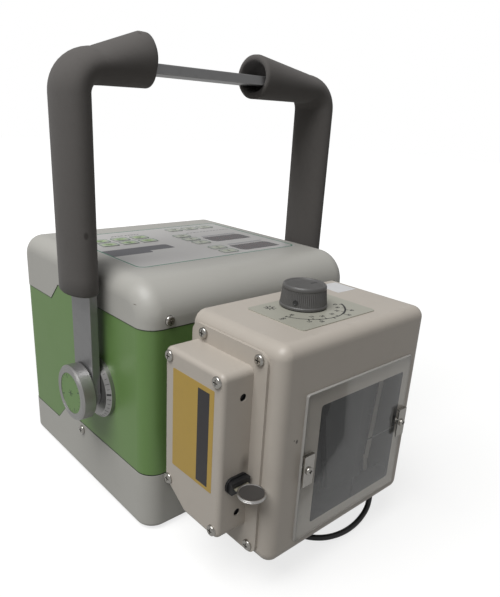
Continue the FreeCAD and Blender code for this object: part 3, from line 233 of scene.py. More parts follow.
tone_drift, tone_in, tone_out = open_group("tone_drift", "Color", {
    "Color": (0.5, 0.5, 0.5, 1.0), "Soil Color": (0.1, 0.09, 0.07, 1.0), "Drift": 0.1, "Scale": 12.0,
    "Soil": 0.1})
slow = add_noise(tone_drift, tone_in["Scale"], 3.0)
shade = tone_drift.nodes.new("ShaderNodeVectorMath")
shade.operation = "SCALE"
tone_drift.links.new(tone_in["Color"], shade.inputs[0])
tone_drift.links.new(add_math(tone_drift, "ADD", swing(tone_drift, slow, 0.5, tone_in["Drift"]), 1.0),
                     shade.inputs["Scale"])
speck = add_noise(tone_drift, add_math(tone_drift, "MULTIPLY", tone_in["Scale"], 9.0), 8.0)
soil_mask = add_math(tone_drift, "MULTIPLY", swing(tone_drift, speck, 0.52, 4.0, True), tone_in["Soil"])
tone_drift.links.new(add_blend(tone_drift, soil_mask, shade.outputs[0], tone_in["Soil Color"]), tone_out[0])

gloss_drift, gloss_in, gloss_out = open_group("gloss_drift", "Roughness", {
    "Roughness": 0.5, "Spread": 0.15, "Scale": 25.0})
smear = add_noise(gloss_drift, gloss_in["Scale"], 5.0)
smear_swing = swing(gloss_drift, smear, 0.5, gloss_in["Spread"])
gloss_drift.links.new(add_math(gloss_drift, "ADD", gloss_in["Roughness"], smear_swing, True), gloss_out[0])


def grain_group(name, stretch=(1.0, 1.0, 1.0)):
    """A fine grain with a slower swell under it; stretched, it is a brushed or drawn grain."""
    group, grain_in, grain_out = open_group(name, "Height", {"Scale": 900.0, "Waviness": 0.3})
    pebble = add_noise(group, grain_in["Scale"], 2.0, stretch)
    swell = add_noise(group, add_math(group, "MULTIPLY", grain_in["Scale"], 0.04), 2.0)
    waves = add_math(group, "MULTIPLY", swell, grain_in["Waviness"])
    group.links.new(add_math(group, "ADD", pebble, waves), grain_out[0])
    return group


fine_grain = grain_group("fine_grain")

edge_wear, wear_in, wear_out = open_group("edge_wear", "Mask", {
    "Width": 0.0008, "Amount": 0.5, "Scale": 120.0})
rounding = edge_wear.nodes.new("ShaderNodeBevel")
rounding.samples = 4
edge_wear.links.new(wear_in["Width"], rounding.inputs["Radius"])
facing_way = edge_wear.nodes.new("ShaderNodeNewGeometry")
same_way = add_vector_math(edge_wear, "DOT_PRODUCT", rounding.outputs["Normal"],
                           facing_way.outputs["Normal"])
turned_away = add_math(edge_wear, "SUBTRACT", 1.0, same_way)
edges_only = add_math(edge_wear, "MULTIPLY", turned_away, 12.0, True)
chipped = swing(edge_wear, add_noise(edge_wear, wear_in["Scale"], 6.0), 0.42, 6.0, True)
worn = add_math(edge_wear, "MULTIPLY", edges_only, chipped)
edge_wear.links.new(add_math(edge_wear, "MULTIPLY", worn, wear_in["Amount"]), wear_out[0])


def finish(name, colour, roughness, metallic=0.0, drift=0.1, drift_scale=14.0, soil=0.06,
           soil_colour=(0.09, 0.08, 0.065), gloss=0.12, grain=900.0, grain_depth=0.1, waviness=0.3,
           wear=0.0, wear_colour=(0.6, 0.6, 0.6), grain_kind=None):
    """A finish with its own amounts of the shared surface life."""
    material = bpy.data.materials.new(name)
    material.use_nodes = True
    tree = material.node_tree
    shader = tree.nodes["Principled BSDF"]
    shader.inputs["Metallic"].default_value = metallic
    surface = use_group(tree, tone_drift, Color=(*colour, 1.0), Soil_Color=(*soil_colour, 1.0), Drift=drift,
                        Scale=drift_scale, Soil=soil)
    if wear:
        surface = add_blend(tree, use_group(tree, edge_wear, Amount=wear), surface, (*wear_colour, 1.0))
    tree.links.new(surface, shader.inputs["Base Color"])
    smears = use_group(tree, gloss_drift, Roughness=roughness, Spread=gloss)
    tree.links.new(smears, shader.inputs["Roughness"])
    bump = tree.nodes.new("ShaderNodeBump")
    bump.inputs["Strength"].default_value = grain_depth
    bump.inputs["Distance"].default_value = 0.2 * MM
    relief = use_group(tree, grain_kind or fine_grain, Scale=grain, Waviness=waviness)
    tree.links.new(relief, bump.inputs["Height"])
    tree.links.new(bump.outputs["Normal"], shader.inputs["Normal"])
    return material


black_cable = finish("black_pvc_cable", (0.016, 0.016, 0.018), 0.4, drift=0.3, soil=0.1, grain=1600.0,
                     grain_depth=0.08)
lead_route = [(55.0, -196.5, 22.9), (54.6, -197.6, 14.5), (47.5, -200.0, 5.4), (29.0, -202.6, 1.6),
              (9.0, -202.0, 2.0), (-9.0, -195.5, 3.4), (-21.0, -180.5, 4.4), (-26.0, -161.0, 5.2),
              (-25.5, -141.0, 8.4), (-21.0, -123.0, 13.0), (-20.0, -107.6, 15.0)]
lead_line = bpy.data.curves.new("collimator_lead_cord", "CURVE")
lead_line.dimensions = "3D"
lead_line.bevel_depth = 2.3 * MM
lead_line.bevel_resolution = 6
lead_line.resolution_u = 20
lead_line.use_fill_caps = True
lead_spline = lead_line.splines.new("NURBS")
lead_spline.points.add(len(lead_route) - 1)
for point, place in zip(lead_spline.points, lead_route):
    point.co = (place[0] * MM, place[1] * MM, place[2] * MM, 1.0)
lead_spline.use_endpoint_u = True
lead_spline.order_u = 3
lead_line.materials.append(black_cable)
collimator_cord = bpy.data.objects.new("collimator_lead_cord", lead_line)
scene.collection.objects.link(collimator_cord)
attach(collimator_cord, "generator")
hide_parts("collimator_lead")


# The lead's two strain reliefs: soft black rubber moulded round the cable, ringed and tapered,
# each on a collar that is pushed into its wall.
def finish_piece(name, shape, materials, body, crease=35.0):
    """Makes the finished shape a piece of that name, riding on its body, with its slot's finish."""
    data = bpy.data.meshes.new(name)
    shape.to_mesh(data)
    shape.free()
    for material in materials:
        data.materials.append(material)
    data.shade_smooth()
    data.set_sharp_from_angle(angle=math.radians(crease))
    piece = bpy.data.objects.new(name, data)
    scene.collection.objects.link(piece)
    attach(piece, body)
    return piece


def outward(shape):
    """Merges doubles and turns every face outwards."""
    bmesh.ops.remove_doubles(shape, verts=shape.verts, dist=1e-7)
    bmesh.ops.recalc_face_normals(shape, faces=shape.faces)


def spin_round(profile, steps, axis=(0, 0, 1), centre=(0, 0, 0)):
    """A new shape: a profile of points, in millimetres, spun once round an axis through centre."""
    shape = bmesh.new()
    corners = [shape.verts.new(Vector(place) * MM) for place in profile]
    edges = [shape.edges.new(pair) for pair in zip(corners, corners[1:])]
    bmesh.ops.spin(shape, geom=corners + edges, cent=Vector(centre) * MM, axis=axis, angle=math.tau,
                   steps=steps, use_merge=True)
    outward(shape)
    return shape


gland_rubber = finish("gland_rubber", (0.02, 0.02, 0.021), 0.6, drift=0.25, soil=0.14, grain=1400.0,
                      grain_depth=0.15)
down_x, down_y = 55.0, -196.5
down_profile = [(2.35, 22.9), (3.0, 22.9), (3.3, 23.4), (3.05, 23.7), (3.75, 24.2), (3.5, 24.5), (4.2, 25.0),
                (4.0, 25.3), (4.6, 25.8), (5.0, 26.2), (5.0, 26.9), (2.35, 26.9), (2.35, 22.9)]
strain_relief = spin_round([(down_x + r, down_y, z) for r, z in down_profile], 40, (0, 0, 1),
                           (down_x, down_y, 0))
front_gland = finish_piece("lead_gland_collimator", strain_relief, [gland_rubber], "generator",
                           60)
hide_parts("lead_glands")
case_x, case_z = -20.0, 15.0
case_profile = [(2.35, -107.6), (3.2, -107.6), (3.5, -107.1), (3.3, -106.8), (4.0, -106.3), (3.8, -106.0),
                (4.5, -105.4), (5.0, -104.9), (5.0, -104.0), (2.35, -104.0), (2.35, -107.6)]
strain_relief = spin_round([(case_x + r, y, case_z) for r, y in case_profile], 40, (0, 1, 0),
                           (case_x, 0, case_z))
rear_gland = finish_piece("lead_gland_case", strain_relief, [gland_rubber], "generator", 60)
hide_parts("lead_glands")


# The case: two covers moulded in warm light grey plastic with a fine spark-eroded texture, a little
# yellowed and handled, screwed together over the middle band with a narrow dark joint between them.
def dress(material, *node_names):
    """Gives CAD nodes this finish."""
    for node_name in node_names:
        for material_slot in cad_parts[node_name].material_slots:
            material_slot.material = material


def blend_in(material, mask, colour):
    """Lays a colour over a finish where the mask says."""
    tree = material.node_tree
    base = tree.nodes["Principled BSDF"].inputs["Base Color"]
    tree.links.new(add_blend(tree, mask, base.links[0].from_socket, (*colour, 1.0)), base)


def spot(material, centre, reach, colour, amount, edge=2.0):
    """A soft-edged oval spot of colour round a place on the piece, in millimetres."""
    tree = material.node_tree
    stretch = [1.0 / (side * MM) for side in reach]
    shift = [-place / side for place, side in zip(centre, reach)]
    distance = add_vector_math(tree, "LENGTH", own_place(tree, stretch, shift))
    inside = add_math(tree, "SUBTRACT", 1.0, distance)
    mask = add_math(tree, "MULTIPLY", add_math(tree, "MULTIPLY", inside, edge, True), amount)
    blend_in(material, mask, colour)


joint_line, joint_in, joint_out = open_group("joint_line", "Mask", {"Width": 0.0005})
joint_axes = joint_line.nodes.new("ShaderNodeSeparateXYZ")
joint_line.links.new(own_place(joint_line), joint_axes.inputs[0])
joint_height = add_ramp(joint_line, joint_axes.outputs["Y"], (38.5 * MM, 54.2 * MM),
                        (171.2 * MM, 155.5 * MM))
band_height = 121.4 * MM
above_joint = add_math(joint_line, "SUBTRACT", joint_axes.outputs["Z"], joint_height)
upper_gap = add_math(joint_line, "ABSOLUTE", above_joint)
lower_gap = add_math(joint_line, "ABSOLUTE", add_math(joint_line, "ADD", above_joint, band_height))
nearest_gap = add_math(joint_line, "MINIMUM", upper_gap, lower_gap)
joint_share = add_math(joint_line, "DIVIDE", nearest_gap, joint_in["Width"])
joint_line.links.new(add_math(joint_line, "SUBTRACT", 1.0, joint_share, True), joint_out[0])


def joint_shadow(material, width, colour):
    """The narrow dark joint between band and cover, along its stepped line."""
    tree = material.node_tree
    line = use_group(tree, joint_line, Width=width * MM)
    blend_in(material, add_math(tree, "MULTIPLY", line, 1.6, True), colour)


cover_plastic = finish("grey_cover_plastic", (0.45, 0.442, 0.41), 0.44, drift=0.05, drift_scale=7.0,
                       soil=0.03, gloss=0.1, grain=1500.0, grain_depth=0.12, wear=0.2,
                       wear_colour=(0.56, 0.55, 0.53))
spot(cover_plastic, (-110.0, -89.0, 188.5), (1.8, 2.6, 0.5), (0.12, 0.1, 0.08), 0.8)
spot(cover_plastic, (-104.0, -60.0, 20.0), (8.0, 11.0, 1.2), (0.3, 0.28, 0.25), 0.35)
joint_shadow(cover_plastic, 0.45, (0.12, 0.13, 0.1))
dress(cover_plastic, "top_cover", "bottom_cover")


# The middle band between the covers: leaf green moulded plastic, set back a little from them, with
# the dark joint along both its stepped edges.
band_plastic = finish("green_band_plastic", (0.145, 0.262, 0.078), 0.4, drift=0.07, drift_scale=8.0,
                      soil=0.04, gloss=0.1, grain=1500.0)
joint_shadow(band_plastic, 1.0, (0.012, 0.022, 0.008))
dress(band_plastic, "middle_band")


# Screws: nickel-plated pan heads with a cross recess, driven into the covers and the collimator.
# Their edges are rubbed bright and soil is flecked over them.
# The screws' lighter edges are rubbed wear and also a painted highlight.
nickel = finish("bright_nickel", (0.4, 0.385, 0.36), 0.24, metallic=1.0, drift=0.12, drift_scale=60.0,
                soil=0.18, gloss=0.2, grain=2400.0, grain_depth=0.06, wear=0.3, wear_colour=(0.8, 0.79, 0.77))
dress(nickel, "case_screws", "collimator_screws")


# The feet: soft black rubber discs let into the bottom cover, dusty and with a coarse matt skin.
# They are all that touches the table.
foot_rubber = finish("foot_rubber", (0.03, 0.03, 0.03), 0.75, drift=0.3, soil=0.25, grain=1100.0,
                     grain_depth=0.3)
dress(foot_rubber, "rubber_feet")


# The control panel: a pale polyester film over the top cover's recess, printed from behind with a
# green border line, a dark stepped block, grey legend bars, and marks above the keys.
def rounded_plate(width, length, thickness, corner=0.0, rim=0.0, square=()):
    """A thin level plate, or only its rim; square lists the corners (right, rear) that stay sharp."""
    plate = bmesh.new()
    bmesh.ops.create_grid(plate, x_segments=1, y_segments=1, size=0.5)
    bmesh.ops.scale(plate, verts=plate.verts, vec=(width * MM, length * MM, 1.0))
    soft = [vert for vert in plate.verts if (vert.co.x > 0, vert.co.y > 0) not in square]
    if corner:
        bmesh.ops.bevel(plate, geom=soft, offset=corner * MM, offset_type="OFFSET", affect="VERTICES",
                        segments=6, profile=0.5, material=-1)
    if rim:
        outer = bmesh.ops.inset_region(plate, faces=plate.faces[:], thickness=rim * MM, use_boundary=True,
                                       use_even_offset=True)["faces"]
        middle = [face for face in plate.faces if face not in outer]
        bmesh.ops.delete(plate, geom=middle, context="FACES")
    return thicken(plate, thickness)


def thicken(flat, thickness):
    """Gives a flat level shape its thickness, upwards from its own plane."""
    bmesh.ops.solidify(flat, geom=flat.faces[:], thickness=thickness * MM)
    lowest = min(vert.co.z for vert in flat.verts)
    bmesh.ops.translate(flat, verts=flat.verts, vec=(0, 0, -lowest))
    outward(flat)
    return flat


WAYS = {"+z": ((1, 0, 0), (0, 1, 0), (0, 0, 1)), "-y": ((1, 0, 0), (0, 0, 1), (0, -1, 0)),
        "+y": ((-1, 0, 0), (0, 0, 1), (0, 1, 0)), "-x": ((0, -1, 0), (0, 0, 1), (-1, 0, 0)),
        "+x": ((0, 1, 0), (0, 0, 1), (1, 0, 0))}


def facing(way, place, turn=0.0):
    """The matrix that lays a level shape on a face that looks that way, turned in its own plane."""
    lie = Matrix(WAYS[way]).transposed().to_4x4()
    return Matrix.Translation(Vector(place) * MM) @ lie @ Matrix.Rotation(math.radians(turn), 4, "Z")


def add_part(shape, part, matrix, tone=0):
    """Adds a finished part of a piece to its shape, in its place and in one of its finishes."""
    bmesh.ops.transform(part, matrix=matrix, verts=part.verts)
    for face in part.faces:
        face.material_index = tone
    step = bpy.data.meshes.new("part")
    part.to_mesh(step)
    part.free()
    shape.from_mesh(step)
    bpy.data.meshes.remove(step)


def lay(shape, part, place, tone=0, way="+z", turn=0.0):
    """Adds a part that was made level to a piece, on a face that looks that way."""
    add_part(shape, part, facing(way, place, turn), tone)


PRINT = 0.06
FRONT_LEFT, FRONT_RIGHT, REAR_LEFT, REAR_RIGHT = (False, False), (True, False), (False, True), (True, True)
panel_film = finish("panel_film", (0.53, 0.52, 0.51), 0.32, drift=0.05, soil=0.03, gloss=0.14, grain=2600.0,
                    grain_depth=0.08)
dress(panel_film, "control_overlay")
green_ink = finish("green_ink", (0.03, 0.19, 0.11), 0.4, drift=0.15, drift_scale=40.0, soil=0.08,
                   grain=2200.0)
dark_ink = finish("dark_ink", (0.092, 0.092, 0.105), 0.4, drift=0.15, drift_scale=30.0, soil=0.1,
                  soil_colour=(0.3, 0.3, 0.32), grain=2200.0)
grey_ink = finish("grey_ink", (0.33, 0.33, 0.345), 0.4, drift_scale=60.0, soil=0.12, grain=2200.0)
panel_top = 204.0
panel_print = bmesh.new()
lay(panel_print, rounded_plate(173.4, 130.0, PRINT, 7.5, 1.3), (2.2, 9.6, panel_top))
lay(panel_print, rounded_plate(65.0, 15.1, PRINT, 4.0, square=(REAR_LEFT, FRONT_LEFT, FRONT_RIGHT)),
    (-50.7, -0.05, panel_top), 1)
lay(panel_print, rounded_plate(38.6, 6.2, PRINT, 2.0, square=(REAR_LEFT, FRONT_LEFT, REAR_RIGHT)),
    (-63.9, -10.7, panel_top), 1)
for bar_y in (19.2, -21.0):
    lay(panel_print, rounded_plate(43.0, 3.2, PRINT, 0.8), (54.0, bar_y, panel_top), 2)
for dash in range(9):
    word_gap = 1.2 if dash > 3 else 0.0
    lay(panel_print, rounded_plate(2.0 if dash % 3 else 2.8, 1.5, PRINT, 0.3),
        (-45.0 + dash * 3.3 + word_gap, 57.4, panel_top), 1)
for dash in range(13):
    lay(panel_print, rounded_plate(3.2, 1.0, PRINT, 0.3), (30.0 + dash * 4.3, 39.6, panel_top), 1)
finish_piece("panel_print", panel_print, [green_ink, dark_ink, grey_ink], "generator")


# The displays: dark tinted panes let into the film, with two opposite corners rounded, and the unlit
# segments of three-digit counters faintly showing behind them.
display_tint = finish("display_tint", (0.032, 0.025, 0.032), 0.22, drift=0.3, soil=0.03, gloss=0.06,
                      grain_depth=0.01)
unlit_segment = finish("unlit_segment", (0.085, 0.042, 0.048), 0.35, soil=0.02, grain_depth=0.02)
display_x = 53.0
digit_pitch = 13.0
level_bar, upright_bar = (5.6, 1.1), (1.1, 5.6)
segments = [(0, 7, level_bar), (0, 0, level_bar), (0, -7, level_bar), (-3.5, 3.5, upright_bar),
            (3.5, 3.5, upright_bar), (-3.5, -3.5, upright_bar), (3.5, -3.5, upright_bar)]
displays = bmesh.new()
for display_y in (4.9, -36.0):
    lay(displays, rounded_plate(46.0, 20.5, 3.0), (display_x, display_y, 201.02))
    lay(displays, rounded_plate(45.9, 20.4, PRINT, 6.0, square=(REAR_LEFT, FRONT_RIGHT)),
        (display_x, display_y, 204.03), 1)
    for digit in range(3):
        digit_x = display_x + (digit - 1) * digit_pitch
        for x, y, bar in segments:
            lay(displays, rounded_plate(*bar, 0.01, 0.5), (digit_x + x, display_y + y * 0.9, 204.09), 2)
display_piece = finish_piece("display_panes", displays, [panel_film, display_tint, unlit_segment],
                             "generator")
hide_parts("display_windows")


# The keys: stiff film caps over short-stroke switches, each printed with a green frame and a small
# dark sign. The six preset keys have a soft yellow-green glow behind the sign.
key_signs = {"arrow_up": [(0, 0.6, 2.4, 2.4, 45), (0, -1.4, 1.0, 2.2, 0)],
             "arrow_down": [(0, -0.6, 2.4, 2.4, 45), (0, 1.4, 1.0, 2.2, 0)],
             "bars": [(0, 0.9, 7.0, 0.9, 0), (0, -0.9, 5.0, 0.9, 0)],
             "limb": [(-0.6, 0.2, 3.4, 1.5, 25), (1.5, -0.5, 2.4, 1.1, -20), (-2.4, 0.6, 1.4, 1.4, 0)],
             "chest": [(0, 0.2, 3.0, 2.5, 0), (-2.0, 0.3, 1.2, 1.5, 0), (2.0, 0.3, 1.2, 1.5, 0),
                       (0, -1.5, 1.6, 0.9, 0)]}
key_plan = [(f"preset_key_{number}", "chest" if number % 2 else "limb", 0.95) for number in range(1, 7)]
key_plan += [("mode_key_1", "bars", 0.25), ("mode_key_2", "bars", 0.25), ("mode_key_3", "limb", 0.25),
             ("exposure_set_key", "bars", 0.3), ("exposure_up_key", "arrow_up", 0.3),
             ("exposure_down_key", "arrow_down", 0.3), ("time_up_key", "arrow_up", 0.3),
             ("time_down_key", "arrow_down", 0.3)]
for name, sign, glow in key_plan:
    key_low, key_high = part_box(name)
    key_x = (key_low[0] + key_high[0]) / 2 / MM
    key_y = (key_low[1] + key_high[1]) / 2 / MM
    key_top = key_high[2] / MM
    key_film = finish(name + "_film", (0.52, 0.5, 0.48), 0.36, drift=0.05, soil=0.05, grain=2600.0)
    spot(key_film, (key_x, key_y, 204.5), (8.4, 5.4, 5.0), (0.3, 0.5, 0.14), glow, 1.5)
    dress(key_film, name)
    key_print = bmesh.new()
    lay(key_print, rounded_plate(16.2, 11.2, PRINT, 1.6, 0.55), (key_x, key_y, key_top))
    for x, y, width, length, turn in key_signs[sign]:
        lay(key_print, rounded_plate(width, length, PRINT, min(width, length) * 0.35),
            (key_x + x, key_y + y, key_top), 1, turn=turn)
    finish_piece(name + "_print", key_print, [green_ink, dark_ink], name)


# The handle's bar: flat aluminium strip, bent twice, brushed along its length, lightly scuffed and
# rubbed bright along its edges.
upright_brush = grain_group("upright_brush", (1.0, 1.0, 0.03))
bar_metal = finish("bar_aluminium", (0.27, 0.27, 0.274), 0.4, metallic=0.85, soil=0.12, gloss=0.22,
                   grain_depth=0.25, wear=0.6, wear_colour=(0.42, 0.42, 0.41), grain_kind=upright_brush)
dress(bar_metal, "handle_bar")


# The grips: closed-cell foam tube pushed over the bar, thin round the bend and full at the open end,
# with a matt skin, small pores, nicks near the ends, and an open mouth in which the bar shows.
foam_skin = finish("foam_skin", (0.11, 0.103, 0.098), 0.9, drift=0.14, drift_scale=18.0, soil=0.12,
                   soil_colour=(0.06, 0.055, 0.05), gloss=0.08, grain=650.0, grain_depth=0.35, waviness=0.6)
foam_shader = foam_skin.node_tree.nodes["Principled BSDF"]
foam_shader.inputs["Specular IOR Level"].default_value = 0.25
foam_shader.inputs["Sheen Weight"].default_value = 0.1
foam_shader.inputs["Sheen Roughness"].default_value = 0.5
nicks = [((-68.0, -50.0, 363.0), (2.4, 2.0, 1.2)), ((-72.5, -40.0, 369.0), (1.4, 3.2, 2.0)),
         ((-66.5, -44.0, 342.0), (1.6, 2.4, 1.6)), ((-126.0, -52.0, 232.0), (2.0, 2.6, 3.4)),
         ((46.0, -50.0, 338.0), (2.6, 1.8, 1.4))]
for nick, nick_reach in nicks:
    spot(foam_skin, nick, nick_reach, (0.045, 0.04, 0.037), 0.8)
pivot_y = -31.5
pivot_z = 102.5


def foam_ring(shape, centre, along, half_y, half_across):
    """One oval ring of the foam's skin; along is the tube's way there, and Y lies across it."""
    made = bmesh.ops.create_circle(shape, segments=56, radius=1.0)
    across = Vector((0, 1, 0)).cross(along).normalized()
    sides = (Vector((0, 1, 0)) * half_y, across * half_across, Vector(along).normalized())
    turn = Matrix(sides).transposed().to_4x4()
    turn.translation = centre
    bmesh.ops.transform(shape, matrix=turn, verts=made["verts"])
    ring = set(made["verts"])
    return [edge for edge in shape.edges if edge.verts[0] in ring and edge.verts[1] in ring]


upright_x, foot_z = 123.6, 185.5
elbow_x, elbow_z, bend = 105.2, 326.0, 18.4
thick_y, thick = 21.5, 12.4
end_y, mouth_half = 20.0, 12.2
foam_steps = 12
for side, name, end_x, end_z, end_half in ((-1, "left_foam_grip", 64.0, 351.6, 19.1),
                                           (1, "right_foam_grip", 43.0, 349.4, 17.7)):
    stations = []
    for inset, rise in ((-8.4, 0.6), (-3.5, 0.0), (-1.2, 0.4), (0.0, 2.0)):
        stations.append(((upright_x, foot_z + rise), (0, 1), thick_y + inset, thick + inset))
    straight_z = foot_z + 2.0
    for step in range(1, foam_steps + 1):
        z = straight_z + (elbow_z - straight_z) * step / foam_steps
        stations.append(((upright_x, z), (0, 1), thick_y, thick))
    for step in range(1, foam_steps + 1):
        angle = math.radians(90 * step / foam_steps)
        place = (elbow_x + bend * math.cos(angle), elbow_z + bend * math.sin(angle))
        stations.append((place, (-math.sin(angle), math.cos(angle)), thick_y, thick))
    reach = elbow_x - end_x
    rise_to_end = end_z - elbow_z - bend
    for step in range(1, foam_steps + 1):
        share = step / foam_steps
        place = (elbow_x - (reach - 2.5) * share, elbow_z + bend + rise_to_end * share)
        half_y = thick_y - (thick_y - end_y) * share
        stations.append((place, (-reach, rise_to_end), half_y, thick + (end_half - thick) * share))
    mouth_share = (end_half - mouth_half) / 4.1
    mouth = ((0.25, 1.2), (1.1, 0.3), (2.4, 0.0), (3.6, 0.3), (4.1, 1.2), (4.3, 4.0), (4.5, 14.0))
    for inset, depth in mouth:
        stations.append(((end_x + depth, end_z), (-1, 0), end_y - inset, end_half - inset * mouth_share))
    stations.append(((end_x + 14.6, 349.0), (-1, 0), 13.0, 8.0))
    stations.append(((end_x + 15.0, 346.2), (-1, 0), 12.0, 2.6))
    grip = bmesh.new()
    rings = []
    for (x, z), (way_x, way_z), half_y, half_across in stations:
        centre = Vector((side * x, pivot_y, z)) * MM
        rings.append(foam_ring(grip, centre, Vector((side * way_x, 0, way_z)), half_y * MM, half_across * MM))
    for first, second in zip(rings, rings[1:]):
        bmesh.ops.bridge_loops(grip, edges=first + second)
    for ends in (rings[0], rings[-1]):
        bmesh.ops.edgeloop_fill(grip, edges=ends)
    outward(grip)
    grip_piece = finish_piece(name + "_foam", grip, [foam_skin], "handle", 80)
    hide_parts(name)


# Angle dials and pivot studs: turned aluminium dials behind the clamp knobs, with engraved degree
# marks on the bevel and one bold mark, and plain steel studs.
dial_metal = finish("dial_aluminium", (0.36, 0.355, 0.35), 0.34, metallic=0.9, soil=0.12, gloss=0.2,
                    grain=1500.0, grain_depth=0.08, wear=0.4, wear_colour=(0.6, 0.6, 0.58))
dress(dial_metal, "angle_dials")
stud_steel = finish("stud_steel", (0.4, 0.4, 0.4), 0.3, metallic=1.0)
dress(stud_steel, "pivot_studs", "knob_shaft")
engraved_black = finish("engraved_black", (0.025, 0.025, 0.026), 0.5, drift=0.2, soil=0.1, grain=2000.0)
bevel_run, bevel_drop = 3.2, 3.5
bevel_x, bevel_radius = 114.4, 24.75
dial_marks = bmesh.new()
for side in (-1, 1):
    for number in range(36):
        angle = math.radians(number * 10.0 + 4.6)
        out_way = Vector((0, math.cos(angle), math.sin(angle)))
        slope = (Vector((side * bevel_run, 0, 0)) - out_way * bevel_drop).normalized()
        normal = (Vector((side * bevel_drop, 0, 0)) + out_way * bevel_run).normalized()
        turn = Matrix((slope.cross(normal), slope, normal)).transposed().to_4x4()
        turn.translation = (Vector((side * bevel_x, pivot_y, pivot_z)) + out_way * bevel_radius) * MM
        width, length = (0.45, 3.6) if number % 3 == 0 else (0.35, 2.4)
        if number == 17:
            width, length = 1.6, 4.0
        add_part(dial_marks, rounded_plate(width, length, PRINT), turn)
finish_piece("dial_marks", dial_marks, [engraved_black], "generator")


# Clamp knobs: turned aluminium with a satin rim and a fine turned groove round the face, and a
# moulded green cap pressed in, with dark marks round its edge and a small star in the middle.
knob_metal = finish("knob_aluminium", (0.37, 0.365, 0.36), 0.36, metallic=0.9, drift=0.08, soil=0.08,
                    gloss=0.15, grain=1800.0, grain_depth=0.08, wear=0.3, wear_colour=(0.6, 0.6, 0.58))
dress(knob_metal, "left_clamp_knob", "right_clamp_knob")
cap_plastic = finish("cap_green", (0.15, 0.27, 0.085), 0.45, drift=0.08, soil=0.1, gloss=0.14, grain=1500.0,
                     grain_depth=0.12)
dress(cap_plastic, "left_knob_cap", "right_knob_cap")
cap_ink = finish("cap_ink", (0.045, 0.085, 0.035), 0.45, drift=0.2, soil=0.1, grain=2000.0)
cap_face, rim_face = 134.9, 135.2
mark_edge = 15.9
for side, way, body in ((-1, "-x", "left_knob"), (1, "+x", "right_knob")):
    knob_marks = bmesh.new()
    for number in range(24):
        turn = number * 15.0 + 22.0
        width, length = (0.4, 1.3) if number % 6 else (0.9, 3.4)
        mark_radius = mark_edge - length / 2
        place = (side * cap_face, pivot_y + side * mark_radius * math.cos(math.radians(turn)),
                 pivot_z + mark_radius * math.sin(math.radians(turn)))
        lay(knob_marks, rounded_plate(length, width, PRINT), place, 0, way, turn)
    for turn, length in ((10.0, 8.4), (70.0, 6.0), (130.0, 6.0)):
        lay(knob_marks, rounded_plate(length, 0.6, PRINT), (side * cap_face, pivot_y, pivot_z), 0, way, turn)
    groove_corners = ((0, 20.3), (PRINT, 20.3), (PRINT, 20.7), (0, 20.7), (0, 20.3))
    groove = [(side * (rim_face + x), pivot_y + radius, pivot_z) for x, radius in groove_corners]
    add_part(knob_marks, spin_round(groove, 64, (1, 0, 0), (0, pivot_y, pivot_z)), Matrix.Identity(4), 1)
    finish_piece(body + "_marks", knob_marks, [cap_ink, stud_steel], body)


# The collimator: a box of folded sheet metal with welded and ground corners, sprayed warm beige
# with a light orange peel, and matt black inside where the beam passes.
beige_paint = finish("beige_paint", (0.48, 0.437, 0.385), 0.38, drift=0.05, drift_scale=8.0, soil=0.04,
                     grain=420.0, waviness=0.6, wear=0.25, wear_colour=(0.62, 0.58, 0.53))
chip_dark = (0.05, 0.045, 0.04)
spot(beige_paint, (-64.0, -211.0, 121.0), (1.3, 3.0, 1.9), chip_dark, 0.9)
spot(beige_paint, (-66.5, -211.0, 122.5), (0.7, 3.0, 0.7), chip_dark, 0.9)
dress(beige_paint, "side_plate")


def inside_mask(material, centre):
    """1 on the faces that look towards a point inside the piece, in millimetres, and 0 elsewhere."""
    tree = material.node_tree
    coordinates = tree.nodes.new("ShaderNodeTexCoord")
    outwards = add_vector_math(tree, "SUBTRACT", coordinates.outputs["Object"], Vector(centre) * MM)
    agreement = add_vector_math(tree, "DOT_PRODUCT", outwards, coordinates.outputs["Normal"])
    return add_math(tree, "LESS_THAN", agreement, 0.0)


housing_paint = beige_paint.copy()
housing_paint.name = "beige_paint_black_inside"
blend_in(housing_paint, inside_mask(housing_paint, (-5.0, -167.0, 108.0)), (0.03, 0.03, 0.032))
dress(housing_paint, "collimator_housing", "collimator_back_plate")


# The laser and tape housing: a beige box screwed to the side plate, with painted shade, near black,
# inside its two beam holes, and a soft darker patch above the tape's mouth. Its label is a plain
# yellow sticker with a plain dark block.
laser_paint = beige_paint.copy()
laser_paint.name = "beige_paint_shaded_holes"
# Painted shade: the walls of the two beam holes are made near black.
for beam_z in (151.7, 65.0):
    spot(laser_paint, (-92.05, -180.0, beam_z), (7.0, 8.0, 7.0), (0.01, 0.01, 0.01), 1.0, 30.0)
# A soft darker patch above the tape's mouth.
spot(laser_paint, (-87.5, -188.0, 101.5), (5.5, 7.0, 9.0), (0.14, 0.12, 0.1), 0.65, 1.2)
dress(laser_paint, "laser_housing")
label_yellow = finish("label_yellow", (0.46, 0.3, 0.05), 0.34, drift=0.06, drift_scale=20.0, grain=2200.0,
                      grain_depth=0.05)
label_dark = finish("label_dark", (0.014, 0.011, 0.014), 0.34, drift=0.2, grain=2200.0, grain_depth=0.05)
label = bmesh.new()
lay(label, rounded_plate(44.0, 75.0, 0.1, 0.8), (-108.85, -158.0, 120.0), 0, "-x")
lay(label, rounded_plate(12.0, 69.0, 0.03, 0.3), (-108.95, -169.4, 119.5), 1, "-x")
finish_piece("laser_housing_label", label, [label_yellow, label_dark], "generator")


# The two lasers: small modules a little way back in their holes, held in the housing's own bosses.
# They are painted near black: painted shade for the dark deep in their holes.
laser_modules_painted_shade = finish("laser_modules_painted_shade", (0.008, 0.008, 0.009), 0.5, drift=0.15, metallic=0.2)
dress(laser_modules_painted_shade, "laser_modules")


